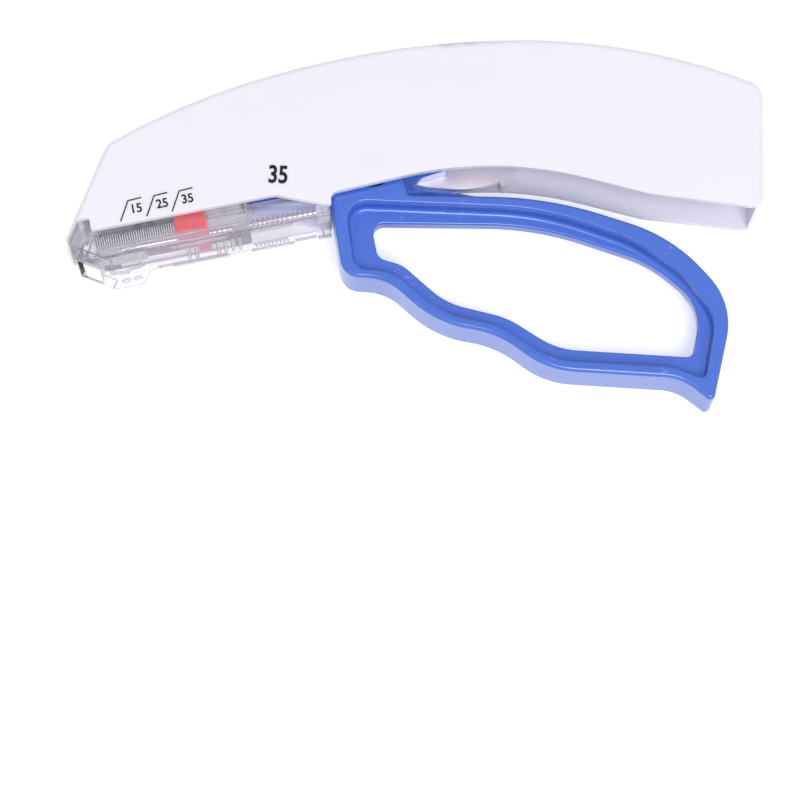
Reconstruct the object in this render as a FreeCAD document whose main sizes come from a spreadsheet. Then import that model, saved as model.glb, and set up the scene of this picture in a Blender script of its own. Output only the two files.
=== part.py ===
"""Skin stapler, lying on its side.

X runs along the staple rail from the nose to the rear, Y from the rail up to the spine of the
housing, and Z through the thickness, with the resting side face at Z = 0. The origin is on the
trigger's pivot axis. All sizes are in millimetres and degrees.
"""

import FreeCAD, Part
import math
import os

from FreeCAD import Vector

os.makedirs("parts", exist_ok=True)
doc = FreeCAD.newDocument("skin_stapler")

# Driving dimensions
SIZES = {
    # Housing
    "body_thickness": 20.0,
    "shell_wall": 1.8,
    "side_round": 1.7,
    "nose_x": -74.3,
    "nose_y": -5.0,
    "nose_tilt": 33.0,
    "front_corner_round": 3.2,
    "front_wall_at_tip": 0.9,
    "crest_x": 0.9,
    "crest_y": 26.8,
    "crest_radius": 206.0,
    "spine_front_x": -24.3,
    "spine_front_radius": 161.0,
    "spine_rear_x": 40.5,
    "spine_rear_radius": 144.5,
    "rear_edge_x": 94.6,
    "rear_tilt": 13.1,
    "rear_corner_round": 4.5,
    "heel_round": 3.0,
    "heel_slope": 18.6,
    "rail_edge_y": -3.9,
    "notch_right_x": -67.6,
    "notch_top_y": -0.8,
    "dip_x": -24.0,
    "dip_end_y": -9.0,
    "gate_y": -5.9,
    "gate_round": 2.0,
    "belly_x": 28.8,
    "belly_y": -4.4,
    "belly_radius": 88.0,
    "kink_x": 62.0,
    "kink_y": -20.95,
    "joint_boss_radius": 2.8,
    "joint_peg_radius": 1.4,
    "joint_peg_depth": 4.0,
    "joint_boss_inset": 5.2,
    "stop_peg_x": 30.6,
    "stop_peg_y": -7.3,
    "stop_peg_radius": 0.8,
    "stop_peg_height": 4.7,
    "trim_reach": 10.0,
    # Trigger and its pivot
    "trigger_thickness": 13.4,
    "trigger_web": 3.7,
    "trigger_edge_round": 0.9,
    "recess_round": 1.2,
    "recess_edge_round": 0.5,
    "web_edge_round": 0.5,
    "block_front_x": -11.3,
    "block_rear_x": 6.9,
    "block_rear_foot_y": -8.8,
    "block_top_front_x": -10.6,
    "block_top_y": 7.4,
    "pivot_pin_radius": 2.0,
    "pin_end_wall": 0.9,
    "boss_wall": 1.7,
    "arm_thickness": 9.2,
    "arm_front_x": -29.8,
    "arm_front_top_y": 10.6,
    "arm_front_bottom_y": -3.2,
    "arm_root_bottom_y": -6.0,
    "arm_rear_x": 17.6,
    "arm_rear_top_y": 4.4,
    "arm_rear_root_y": -5.4,
    "arm_rear_bottom_y": -4.2,
    "arm_gap": 3.6,
    "shelf_thickness": 2.4,
    "shelf_root_y": -3.5,
    "shelf_end_x": 34.0,
    "shelf_end_y": -14.75,
    "trigger_turn": 10.0,
    # Return spring round the pivot
    "return_coil_radius": 4.5,
    "return_wire": 0.9,
    "return_coil_length": 3.8,
    "return_coil_room": 0.55,
    "return_leg_reach": 12.0,
    # Lever, former and their pin
    "lever_thickness": 1.6,
    "drive_pin_radius": 1.0,
    "drive_pin_depth": 10.5,
    "drive_pin_rise": 25.2,
    "lever_end_margin": 0.9,
    "rivet_radius": 1.2,
    "rivet_head_radius": 2.2,
    "rivet_head": 0.5,
    "front_rivet_x": -21.0,
    "front_rivet_y": 5.0,
    "rear_rivet_x": 13.0,
    "rear_rivet_y": 0.6,
    "blade_depth": 4.2,
    "blade_thickness": 0.5,
    "blade_width": 12.4,
    "blade_tip_rise": 8.2,
    "blade_top_rise": 27.8,
    "blade_notch_width": 6.2,
    "blade_notch": 1.2,
    "lever_window_drop": 2.5,
    "carrier_rise": 22.7,
    "carrier_depth_end": 12.7,
    "carrier_thickness": 7.6,
    "former_travel": 10.2,
    # Magazine
    "magazine_thickness": 16.0,
    "magazine_wall": 1.3,
    "magazine_top_y": -2.1,
    "magazine_floor_y": -9.4,
    "magazine_bottom_y": -10.6,
    "magazine_step_x": -31.0,
    "magazine_tail_y": -4.4,
    "magazine_end_x": -11.9,
    "nose_plate_inset": 1.1,
    "nose_plate_top_y": -1.0,
    "nose_plate_rear_x": -66.2,
    "nose_floor": 0.8,
    "jaw_thickness": 15.2,
    "jaw_front": 3.3,
    "jaw_back": 11.0,
    "jaw_drop": 2.4,
    "jaw_bottom_y": -13.8,
    "jaw_front_x": -65.2,
    "jaw_heel_x": -58.3,
    "jaw_rear_x": -55.7,
    "staple_slot_back": 5.45,
    "cover_thickness": 1.05,
    "cover_front_x": -66.3,
    "ear_width": 5.0,
    "ear_rise": 3.4,
    "ear_pin_radius": 1.2,
    "front_ear_x": -55.5,
    "rear_ear_x": -38.0,
    "anvil_back": 9.5,
    "anvil_thickness": 0.8,
    "anvil_width": 9.2,
    # Staples, rail and pusher
    "wire": 0.53,
    "staple_pitch": 0.55,
    "staple_count": 35,
    "staple_width": 12.7,
    "staple_leg": 3.4,
    "stack_front_x": -67.6,
    "crown_top_y": -3.9,
    "rail_sheet": 0.5,
    "rail_width": 10.8,
    "rail_flange_y": -8.0,
    "rail_foot": 4.0,
    "pusher_length": 7.6,
    "pusher_width": 12.8,
    "pusher_top_y": -3.3,
    "pusher_side_y": -7.3,
    "pusher_foot_y": -8.85,
    "pusher_foot": 3.0,
    "rod_radius": 0.7,
    "rod_y": -6.9,
    "rod_front_x": -65.8,
    "feed_spring_radius": 1.4,
    "feed_spring_wire": 0.4,
    "plug_length": 3.0,
    "plug_width": 2.8,
    "leaf_sheet": 0.3,
    "leaf_width": 6.0,
    "leaf_rear_x": -56.0,
    "leaf_bend_x": -64.0,
    "leaf_front_x": -69.6,
    "leaf_rise": 0.8,
    # Clearances
    "run_clearance": 0.06,
    "slide_clearance": 0.15,
    "slot_clearance": 0.3,
    "fit_clearance": 0.05,
}

sheet = doc.addObject("Spreadsheet::Sheet", "Sizes")
for row, (alias, value) in enumerate(SIZES.items(), start=1):
    sheet.set(f"A{row}", alias)
    sheet.set(f"B{row}", str(value))
    sheet.setAlias(f"B{row}", alias)
doc.recompute()


class Sheet:
    """Reads a driving dimension from the sheet by its alias."""

    def __getattr__(self, alias):
        return float(getattr(sheet, alias))


S = Sheet()

# Trigger outlines as corners (x, y, rounding), counter-clockwise. The forward and upper corners
# of the block come from the sheet.
GRIP_OUTLINE = [
    (-12.15, -25.4, 4.5),
    (-2.2, -28.1, 13.0),
    (7.0, -40.95, 26.0),
    (20.35, -46.1, 24.0),
    (29.95, -57.1, 21.0),
    (60.0, -65.2, 12.0),
    (66.0, -72.6, 1.2),
    (76.3, -49.8, 17.0),
    (65.4, -31.1, 38.0),
    (39.5, -16.2, 86.0),
]
GRIP_RECESS = [
    (-7.9, -7.3, 4.5),
    (-9.1, -24.2, 3.6),
    (-0.3, -26.5, 13.0),
    (8.8, -39.4, 22.0),
    (20.9, -44.0, 22.0),
    (31.2, -55.0, 20.0),
    (58.4, -62.2, 12.0),
    (65.5, -66.6, 1.4),
    (71.3, -52.6, 10.0),
    (65.8, -40.3, 20.0),
    (56.6, -30.3, 34.0),
    (37.3, -18.5, 70.0),
]
FINGER_OPENING = [
    (-2.8, -12.7, 2.6),
    (-2.9, -21.3, 2.8),
    (2.4, -24.1, 8.0),
    (10.6, -35.3, 18.0),
    (23.9, -41.6, 20.0),
    (33.7, -51.4, 18.0),
    (64.4, -59.7, 1.8),
    (69.4, -47.9, 12.0),
    (59.6, -35.2, 30.0),
    (35.6, -21.0, 70.0),
]
# Rear part of the lever plate, from its root under the pivot round its tail to its root above.
LEVER_TAIL = [
    (-8.0, -1.6, 6.0),
    (4.0, -2.4, 6.0),
    (12.4, -6.25, 8.0),
    (24.8, -9.75, 21.0),
    (40.5, -4.0, 3.0),
    (41.5, 1.2, 2.5),
    (28.0, 4.0, 18.0),
    (10.0, 4.0, 12.0),
    (0.0, 6.2, 8.0),
]
# Lower corners of the slot for the lever plate, from the pivot's front to the arm's rear.
LEVER_SLOT = [(-9.0, -3.4), (5.0, -3.6), (7.9, -4.8)]
# Stations along the spine where the halves are pegged together.
JOINT_STATIONS = [-38.0, -4.0, 30.0, 64.0]

# Levels through the thickness, as expressions for the features and as numbers for this script
MIDDLE = "Sizes.body_thickness / 2"
middle = S.body_thickness / 2
tilt = math.radians(S.nose_tilt)
NOSE = Vector(S.nose_x, S.nose_y, 0)
ALONG_FACE = Vector(math.cos(tilt), -math.sin(tilt), 0)
UP_FRONT = Vector(math.sin(tilt), math.cos(tilt), 0)


def nose_point(depth, rise):
    """Point given by its depth behind the front edge and its rise up that edge from the tip."""
    return NOSE + ALONG_FACE * depth + UP_FRONT * rise


def nose_corner(depth, rise, rounding=0.0):
    point = nose_point(depth, rise)
    return (point.x, point.y, rounding)


def turned(point, degrees):
    """The point turned about the pivot."""
    angle = math.radians(degrees)
    return Vector(
        point.x * math.cos(angle) - point.y * math.sin(angle),
        point.x * math.sin(angle) + point.y * math.cos(angle),
        0,
    )


# Outlines


def arc_edge(centre, radius, start, end):
    """Arc from one angle to another, in radians, running the shorter way."""
    mid = (start + end) / 2
    spots = [
        Vector(centre.x + radius * math.cos(a), centre.y + radius * math.sin(a), 0)
        for a in (start, mid, end)
    ]
    return spots[0], spots[2], Part.Arc(*spots)


def join(pieces):
    """Closes a chain of (start, end, curve) pieces with straight lines where they don't meet."""
    curves = []
    for index, (start, end, curve) in enumerate(pieces):
        if curve is not None:
            curves.append(curve)
        following = pieces[(index + 1) % len(pieces)][0]
        if (following - end).Length > 1e-6:
            curves.append(Part.LineSegment(end, following))
    return curves


def rounded_pieces(corners, inset=0.0, closed=True):
    """Corner pieces of a counter-clockwise outline, moved inwards by inset.

    An open outline leaves out its first and last corners, which only give directions.
    """
    count = len(corners)
    pieces = []
    for index in range(0 if closed else 1, count if closed else count - 1):
        here = Vector(corners[index][0], corners[index][1], 0)
        before = Vector(corners[index - 1][0], corners[index - 1][1], 0)
        after = Vector(corners[(index + 1) % count][0], corners[(index + 1) % count][1], 0)
        radius = corners[index][2] if len(corners[index]) > 2 else 0.0
        way_in = (here - before).normalize()
        way_out = (after - here).normalize()
        normal_in = Vector(way_in.y, -way_in.x, 0)
        normal_out = Vector(way_out.y, -way_out.x, 0)
        turn = math.atan2(way_in.x * way_out.y - way_in.y * way_out.x, way_in.dot(way_out))
        side = 1.0 if turn > 0 else -1.0
        corner_radius = radius - side * inset
        if radius <= 0 or corner_radius <= 0.01:
            miter = (normal_in + normal_out) * (inset / (1.0 + normal_in.dot(normal_out)))
            pieces.append((here - miter, here - miter, None))
            continue
        reach = radius * math.tan(abs(turn) / 2)
        centre = here - way_in * reach - normal_in * (side * radius)
        start = math.atan2(side * normal_in.y, side * normal_in.x)
        pieces.append(arc_edge(centre, corner_radius, start, start + turn))
    return pieces


def rounded(corners, inset=0.0):
    return join(rounded_pieces(corners, inset))


def rectangle(x_low, y_low, x_high, y_high):
    return rounded([(x_low, y_low), (x_high, y_low), (x_high, y_high), (x_low, y_high)])


def circle(x, y, radius):
    return [Part.Circle(Vector(x, y, 0), Vector(0, 0, 1), radius)]


def unit(angle):
    return Vector(math.cos(angle), math.sin(angle), 0)


def corner_centre(arc_centre, arc_radius, edge_point, edge_normal, radius, rearward):
    """Centre of a rounding that touches a straight edge and the inside of an arc."""
    start = edge_point - edge_normal * radius - arc_centre
    along = Vector(-edge_normal.y, edge_normal.x, 0)
    half = start.dot(along)
    root = math.sqrt(half * half - start.dot(start) + (arc_radius - radius) ** 2)
    reach = -half + root if rearward else -half - root
    return arc_centre + start + along * reach


# Housing outline: three tangent arcs make the spine
crest_centre = Vector(S.crest_x, S.crest_y - S.crest_radius, 0)
front_angle = math.pi / 2 + math.asin((S.crest_x - S.spine_front_x) / S.crest_radius)
rear_angle = math.pi / 2 - math.asin((S.spine_rear_x - S.crest_x) / S.crest_radius)
front_centre = crest_centre + unit(front_angle) * (S.crest_radius - S.spine_front_radius)
rear_centre = crest_centre + unit(rear_angle) * (S.crest_radius - S.spine_rear_radius)
front_normal = ALONG_FACE * -1.0
rear_lean = math.radians(S.rear_tilt)
rear_normal = Vector(math.cos(rear_lean), -math.sin(rear_lean), 0)
rear_point = Vector(S.rear_edge_x, 0, 0)
front_corner = corner_centre(
    front_centre, S.spine_front_radius, NOSE, front_normal, S.front_corner_round, False
)
rear_corner = corner_centre(
    rear_centre, S.spine_rear_radius, rear_point, rear_normal, S.rear_corner_round, True
)


def direction(vector):
    return math.atan2(vector.y, vector.x)


def spine_pieces(inset):
    """Rear corner, spine and front corner, from the rear edge to the front edge."""
    rear_start = direction(rear_corner - rear_centre)
    front_end = direction(front_corner - front_centre)
    arcs = [
        (rear_corner, S.rear_corner_round, direction(rear_normal), rear_start),
        (rear_centre, S.spine_rear_radius, rear_start, rear_angle),
        (crest_centre, S.crest_radius, rear_angle, front_angle),
        (front_centre, S.spine_front_radius, front_angle, front_end),
        (front_corner, S.front_corner_round, front_end, direction(front_normal)),
    ]
    return [arc_edge(centre, radius - inset, low, high) for centre, radius, low, high in arcs]


def spine_y(x, inset):
    """Height of the spine at x, moved inwards by inset."""
    if x < S.spine_front_x:
        centre, radius = front_centre, S.spine_front_radius
    elif x > S.spine_rear_x:
        centre, radius = rear_centre, S.spine_rear_radius
    else:
        centre, radius = crest_centre, S.crest_radius
    return centre.y + math.sqrt((radius - inset) ** 2 - (x - centre.x) ** 2)


def rear_edge_at(y):
    return S.rear_edge_x + y * math.tan(rear_lean)


heel_run = math.tan(math.radians(S.heel_slope))
heel_x = (S.rear_edge_x + (S.kink_y + S.kink_x * heel_run) * math.tan(rear_lean)) / (
    1 + heel_run * math.tan(rear_lean)
)
heel_y = S.kink_y - (heel_x - S.kink_x) * heel_run
gate_x = S.block_front_x - S.fit_clearance
NOTCH_BOTTOM = nose_point(S.front_wall_at_tip, 0)
notch_rise = (S.notch_top_y - NOTCH_BOTTOM.y) / math.cos(tilt)
NOTCH_TOP = nose_corner(S.front_wall_at_tip, notch_rise, 0.6)

# Lower edge of the side walls, from ahead of the nose tip to the heel
LIP = [
    nose_corner(-2 * S.shell_wall, 0),
    nose_corner(-S.shell_wall, 0),
    (NOTCH_BOTTOM.x, NOTCH_BOTTOM.y),
    NOTCH_TOP,
    (S.notch_right_x, S.notch_top_y, 0.6),
    (S.notch_right_x, S.rail_edge_y, 0.4),
    (S.dip_x, S.rail_edge_y, 2.0),
    (gate_x, S.dip_end_y, 0.6),
    (gate_x, S.gate_y, S.gate_round),
    (S.belly_x, S.belly_y, S.belly_radius),
    (S.kink_x, S.kink_y, 6.0),
    (heel_x, heel_y, S.heel_round),
    (S.rear_edge_x, 0.0),
]
BELOW_LIP = heel_y - S.trim_reach

# Features


def plane_of(body, role):
    return next(item for item in body.Origin.OriginFeatures if item.Role == role)


def new_body(label):
    body = doc.addObject("PartDesign::Body", label)
    body.Label = label
    return body


def sketch(body, name, curves, level, role="XY_Plane"):
    """Sketch on an origin plane of the body, raised to a level given as an expression."""
    drawn = body.newObject("Sketcher::SketchObject", name)
    drawn.AttachmentSupport = [(plane_of(body, role), "")]
    drawn.MapMode = "FlatFace"
    drawn.setExpression("AttachmentOffset.Base.z", level)
    drawn.addGeometry(curves, False)
    return drawn


def add(body, name, curves, level, length, role="XY_Plane"):
    """Adds material over the outline, from the level upwards."""
    feature = body.newObject("PartDesign::Pad", name)
    feature.Profile = sketch(body, name + "_outline", curves, level, role)
    feature.setExpression("Length", length)
    doc.recompute()
    return feature


def cut(body, name, curves, level, length, role="XY_Plane"):
    """Removes material over the outline, from the level upwards."""
    before = body.Tip.Shape.Volume
    feature = body.newObject("PartDesign::Pocket", name)
    feature.Profile = sketch(body, name + "_outline", curves, level, role)
    feature.Reversed = True
    feature.setExpression("Length", length)
    doc.recompute()
    if feature.Shape.Volume > before - 1e-6:
        raise RuntimeError(f"{body.Label}: {name} removes nothing")
    return feature


def edges_at(shape, test):
    """Names of the shape's edges whose middle point passes the test."""
    names = []
    for index, edge in enumerate(shape.Edges, start=1):
        middle_parameter = (edge.FirstParameter + edge.LastParameter) / 2
        if test(edge.valueAt(middle_parameter)):
            names.append(f"Edge{index}")
    return names


def on_outline(curves, *levels):
    """Test for points at one of the levels that lie on one of the curves."""
    drawn = [curve.toShape() for curve in curves]

    def test(point):
        if all(abs(point.z - level) > 1e-4 for level in levels):
            return False
        spot = Part.Vertex(point.x, point.y, 0)
        return any(edge.distToShape(spot)[0] < 1e-4 for edge in drawn)

    return test


def soften(body, name, radius, test, kind="Fillet"):
    """Rounds or bevels the edges that pass the test."""
    base = body.Tip
    names = edges_at(base.Shape, test)
    if not names:
        raise RuntimeError(f"{body.Label}: {name} finds no edge")
    feature = body.newObject(f"PartDesign::{kind}", name)
    feature.Base = (base, names)
    feature.setExpression("Radius" if kind == "Fillet" else "Size", radius)
    doc.recompute()
    return feature


# Housing halves


def open_outline(inset):
    """Front, spine and rear of the housing, carried on below the lower edge."""
    rear = rear_point - rear_normal * inset
    low_rear = rear.x + (BELOW_LIP - rear.y) * math.tan(rear_lean)
    front = NOSE - front_normal * inset
    low_front = front.x + (BELOW_LIP - front.y) * math.tan(tilt)
    low_points = [Vector(low_front, BELOW_LIP, 0), Vector(low_rear, BELOW_LIP, 0)]
    return join([(point, point, None) for point in low_points] + spine_pieces(inset))


def below_lip_outline():
    """Everything under the lower edge of the side walls."""
    edge = rounded_pieces(LIP, closed=False)
    margin = 3 * S.shell_wall
    beside_heel = edge[-1][1] + rear_normal * margin
    low = BELOW_LIP - margin
    low_front = nose_point(-S.shell_wall, (low - NOSE.y) / math.cos(tilt))
    ends = [beside_heel, Vector(beside_heel.x, low, 0), low_front]
    return join(edge + [(point, point, None) for point in ends])


def joint_spots():
    """Places where a peg of one half stands in a socket of the other."""
    spots = [(x, spine_y(x, S.joint_boss_inset)) for x in JOINT_STATIONS]
    heel_rise = S.joint_boss_inset * 2
    heel_spot_y = heel_y + heel_rise
    spots.append((rear_edge_at(heel_spot_y) - S.joint_boss_inset, heel_spot_y))
    return spots


def arm_top_at(x):
    """Height of the arm's upper edge ahead of the pivot."""
    share = (x - S.arm_front_x) / (0.0 - S.arm_front_x)
    return S.arm_front_top_y + share * (S.block_top_y - S.arm_front_top_y)


def half_shell(label, upper):
    """One half of the housing, with its bosses, guide ribs and stops."""
    body = new_body(label)
    wall = "Sizes.shell_wall"
    half = MIDDLE
    depth = f"{half} - {wall}"
    inner = half if upper else wall
    trigger_side = "(Sizes.body_thickness - Sizes.trigger_thickness) / 2"
    arm_side = "(Sizes.body_thickness - Sizes.arm_thickness) / 2"

    def raised(name, curves, height):
        """Boss or rib that stands on the side wall, to a height above its inner face."""
        root = f"{wall} / 2"
        level = f"Sizes.body_thickness - {wall} - ({height})" if upper else root
        return add(body, name, curves, level, f"{wall} / 2 + ({height})")

    add(body, "wall_block", open_outline(0.0), half if upper else "0", half)
    outer = on_outline(open_outline(0.0), S.body_thickness if upper else 0.0)
    soften(body, "side_rounding", "Sizes.side_round", lambda p: p.y > BELOW_LIP + 1 and outer(p))
    cut(body, "hollow", open_outline(S.shell_wall), inner, depth)
    cut(body, "lower_edge", below_lip_outline(), half if upper else "0", half)

    for index, (x, y) in enumerate(joint_spots(), start=1):
        raised(f"joint_boss_{index}", circle(x, y, S.joint_boss_radius), depth)
        if upper:
            socket = circle(x, y, S.joint_peg_radius + S.fit_clearance)
            reach = "Sizes.joint_peg_depth + Sizes.slot_clearance"
            cut(body, f"socket_{index}", socket, half, reach)
        else:
            peg = circle(x, y, S.joint_peg_radius)
            add(body, f"joint_peg_{index}", peg, f"{half} - 1", "1 + Sizes.joint_peg_depth")

    boss_radius = S.pivot_pin_radius + S.boss_wall
    if upper:
        boss_height = f"{trigger_side} + Sizes.return_coil_length - {wall} - Sizes.slot_clearance"
    else:
        boss_height = f"{trigger_side} - {wall} - Sizes.slot_clearance"
    raised("pivot_boss", circle(0, 0, boss_radius), boss_height)
    bore = circle(0, 0, S.pivot_pin_radius + S.fit_clearance)
    bore_reach = f"{half} - Sizes.pin_end_wall"
    cut(body, "pivot_bore", bore, half if upper else "Sizes.pin_end_wall", bore_reach)

    guide = rounded(
        [
            nose_corner(S.front_wall_at_tip, guide_low),
            nose_corner(S.blade_depth - S.slide_clearance, guide_low),
            nose_corner(S.blade_depth - S.slide_clearance, guide_high),
            nose_corner(S.front_wall_at_tip, guide_high),
        ]
    )
    raised("blade_guide", guide, f"(Sizes.body_thickness - Sizes.blade_width) / 2 - {wall} + 0.8")

    stop_low = arm_top_at(S.front_rivet_x) + S.slot_clearance
    stop_high = spine_y(S.front_rivet_x, S.shell_wall / 2)
    stop = rectangle(S.front_rivet_x - 1, stop_low, S.front_rivet_x + 1, stop_high)
    raised("rest_stop", stop, f"{arm_side} - {wall} + 2.4")
    for index, x in enumerate((S.front_ear_x, S.rear_ear_x), start=1):
        stud = circle(x, ear_y(), S.ear_pin_radius)
        side = f"(Sizes.body_thickness - Sizes.magazine_thickness) / 2 - {wall}"
        raised(f"magazine_stud_{index}", stud, f"{side} + Sizes.magazine_wall")
    if upper:
        post = circle(post_x(), post_y(), S.return_wire)
        raised("spring_post", post, "Sizes.return_wire * 2")
    else:
        peg = circle(S.stop_peg_x, S.stop_peg_y, S.stop_peg_radius)
        raised("squeeze_stop", peg, "Sizes.stop_peg_height")
    return body


# Return spring places, on the upper side of the trigger's hub
def post_x():
    return S.return_coil_radius - S.return_wire * 1.5 - S.slide_clearance


def post_y():
    return S.return_leg_reach - S.return_wire


def ear_y():
    return S.magazine_top_y + S.ear_rise / 2


guide_low = S.blade_tip_rise
guide_high = S.blade_top_rise - 1.0

half_shell("housing_lower", False)
half_shell("housing_upper", True)

# Pivot pin, held in blind bores of both halves
pin = new_body("pivot_pin")
add(
    pin,
    "shank",
    circle(0, 0, S.pivot_pin_radius),
    "Sizes.pin_end_wall + Sizes.fit_clearance",
    "Sizes.body_thickness - 2 * (Sizes.pin_end_wall + Sizes.fit_clearance)",
)
pin_round = S.pivot_pin_radius - 0.01
soften(pin, "pin_ends", "Sizes.pivot_pin_radius / 8", lambda p: p.Length > pin_round, "Chamfer")


# Trigger: a deep rim round a thin web, the block at the pivot and the forked arm


def grip_outline():
    block = [
        (S.block_rear_x, S.block_rear_foot_y, 0.8),
        (S.block_rear_x, S.block_top_y, 5.0),
        (S.block_top_front_x, S.block_top_y, 3.0),
    ]
    return rounded(GRIP_OUTLINE + block)


trigger = new_body("trigger")
rim_start = "(Sizes.body_thickness - Sizes.trigger_thickness) / 2"
web_start = "(Sizes.body_thickness - Sizes.trigger_web) / 2"
recess_depth = "(Sizes.trigger_thickness - Sizes.trigger_web) / 2"
add(trigger, "grip", grip_outline(), rim_start, "Sizes.trigger_thickness")
rim_levels = [middle - S.trigger_thickness / 2, middle + S.trigger_thickness / 2]
soften(trigger, "rim_rounding", "Sizes.trigger_edge_round", on_outline(grip_outline(), *rim_levels))
cut(trigger, "lower_recess", rounded(GRIP_RECESS), rim_start, recess_depth)
cut(trigger, "upper_recess", rounded(GRIP_RECESS), f"{web_start} + Sizes.trigger_web", recess_depth)
web_levels = [middle - S.trigger_web / 2, middle + S.trigger_web / 2]
on_recess = on_outline(rounded(GRIP_RECESS), *web_levels)
soften(trigger, "recess_rounding", "Sizes.recess_round", on_recess)
recess_edge = on_outline(rounded(GRIP_RECESS), *rim_levels)
soften(trigger, "recess_edge_rounding", "Sizes.recess_edge_round", recess_edge)
cut(trigger, "finger_opening", rounded(FINGER_OPENING), rim_start, "Sizes.trigger_thickness")
on_opening = on_outline(rounded(FINGER_OPENING), *web_levels)
soften(trigger, "web_rounding", "Sizes.web_edge_round", on_opening)
arm = [
    (S.arm_front_x, S.arm_front_bottom_y, 1.0),
    (S.block_front_x, S.arm_root_bottom_y),
    (S.block_rear_x - 1.0, S.arm_rear_root_y),
    (S.arm_rear_x, S.arm_rear_bottom_y, 1.0),
    (S.arm_rear_x, S.arm_rear_top_y, 2.0),
    (0.0, S.block_top_y),
    (S.arm_front_x, S.arm_front_top_y, 2.0),
]
arm_start = "(Sizes.body_thickness - Sizes.arm_thickness) / 2"
add(trigger, "arm", rounded(arm), arm_start, "Sizes.arm_thickness")

# Slot for the lever plate over a shelf along the grip, and the gap that straddles the feed spring
slot_start = "(Sizes.body_thickness - Sizes.lever_thickness) / 2 - Sizes.fit_clearance"
slot_width = "Sizes.lever_thickness + 2 * Sizes.fit_clearance"
shelf = [
    (S.block_rear_x - 1, S.shelf_root_y),
    (S.block_rear_x - 1, S.block_rear_foot_y - 1),
    (S.shelf_end_x, S.shelf_end_y - 1),
    (S.shelf_end_x, S.shelf_end_y),
    (S.block_rear_x, S.shelf_root_y),
]
shelf_start = f"{slot_start} - Sizes.shelf_thickness"
add(trigger, "lever_shelf", rounded(shelf), shelf_start, "Sizes.shelf_thickness")
slot = rounded(
    [(S.arm_front_x - 1, LEVER_TAIL[0][1])]
    + LEVER_SLOT
    + [
        (S.arm_rear_x + 1, S.shelf_end_y),
        (S.arm_rear_x + 1, S.body_thickness),
        (S.arm_front_x - 1, S.body_thickness),
    ]
)
cut(trigger, "lever_slot", slot, slot_start, slot_width)
gap = rounded(
    [
        (S.arm_front_x - 1, S.arm_root_bottom_y - 1),
        (S.block_front_x, S.arm_root_bottom_y - 1),
        (S.block_front_x, -2.4),
        (S.arm_front_x - 1, 1.0),
    ]
)
gap_start = "(Sizes.body_thickness - Sizes.arm_gap) / 2"
cut(trigger, "spring_gap", gap, gap_start, "Sizes.arm_gap")
hub_bore = circle(0, 0, S.pivot_pin_radius + S.run_clearance)
cut(trigger, "hub_bore", hub_bore, rim_start, "Sizes.trigger_thickness")
coil_well = circle(0, 0, S.return_coil_radius + S.return_wire / 2 + S.return_coil_room)
coil_floor = f"{rim_start} + Sizes.trigger_thickness - Sizes.return_coil_length"
cut(trigger, "coil_well", coil_well, coil_floor, "Sizes.return_coil_length")
hook = Vector(-S.return_coil_radius, 0, 0)
hook_hole = circle(hook.x, hook.y, S.return_wire / 2 + S.slide_clearance)
cut(trigger, "hook_hole", hook_hole, f"{coil_floor} - 2", "2")
rivets = [(S.front_rivet_x, S.front_rivet_y), (S.rear_rivet_x, S.rear_rivet_y)]
for index, (x, y) in enumerate(rivets, start=1):
    hole = circle(x, y, S.rivet_radius + S.fit_clearance)
    cut(trigger, f"rivet_hole_{index}", hole, arm_start, "Sizes.arm_thickness")

# Lever plate, riveted in the arm. Its slot follows the drive pin over the whole squeeze.
drive_pin_rest = nose_point(S.drive_pin_depth, S.drive_pin_rise)
drive_pin_end = turned(drive_pin_rest - UP_FRONT * S.former_travel, -S.trigger_turn)
slot_way = (drive_pin_end - drive_pin_rest).normalize()
slot_side = Vector(-slot_way.y, slot_way.x, 0)
slot_half = S.drive_pin_radius + S.slot_clearance
slot_back = drive_pin_rest - slot_way * S.slot_clearance
slot_front = drive_pin_end + slot_way * S.slot_clearance


def round_bar(start, end, half):
    """Outline of a bar with round ends, given its end centres and half width."""
    way = (end - start).normalize()
    side = Vector(way.y, -way.x, 0)
    corners = []
    for centre, ahead, sign in ((start, -1, 1), (start, -1, -1), (end, 1, -1), (end, 1, 1)):
        corner = centre + way * (ahead * half) + side * (sign * half)
        corners.append((corner.x, corner.y, half * 0.999))
    return rounded(corners[::-1])


end_half = slot_half + S.lever_end_margin
tip_low = slot_front + slot_way * end_half + slot_side * end_half
tip_high = slot_front + slot_way * end_half - slot_side * end_half
lever_outline = [
    (tip_high.x, tip_high.y, end_half * 0.9),
    (tip_low.x, tip_low.y, end_half * 0.9),
] + LEVER_TAIL
lever = new_body("drive_lever")
lever_start = "(Sizes.body_thickness - Sizes.lever_thickness) / 2"
add(lever, "plate", rounded(lever_outline), lever_start, "Sizes.lever_thickness")
pivot_clear = circle(0, 0, S.pivot_pin_radius + S.run_clearance)
cut(lever, "pivot_hole", pivot_clear, lever_start, "Sizes.lever_thickness")
pin_slot = round_bar(slot_back, slot_front, slot_half)
cut(lever, "pin_slot", pin_slot, lever_start, "Sizes.lever_thickness")
for index, (x, y) in enumerate(rivets, start=1):
    hole = circle(x, y, S.rivet_radius + S.fit_clearance)
    cut(lever, f"rivet_hole_{index}", hole, lever_start, "Sizes.lever_thickness")

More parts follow.
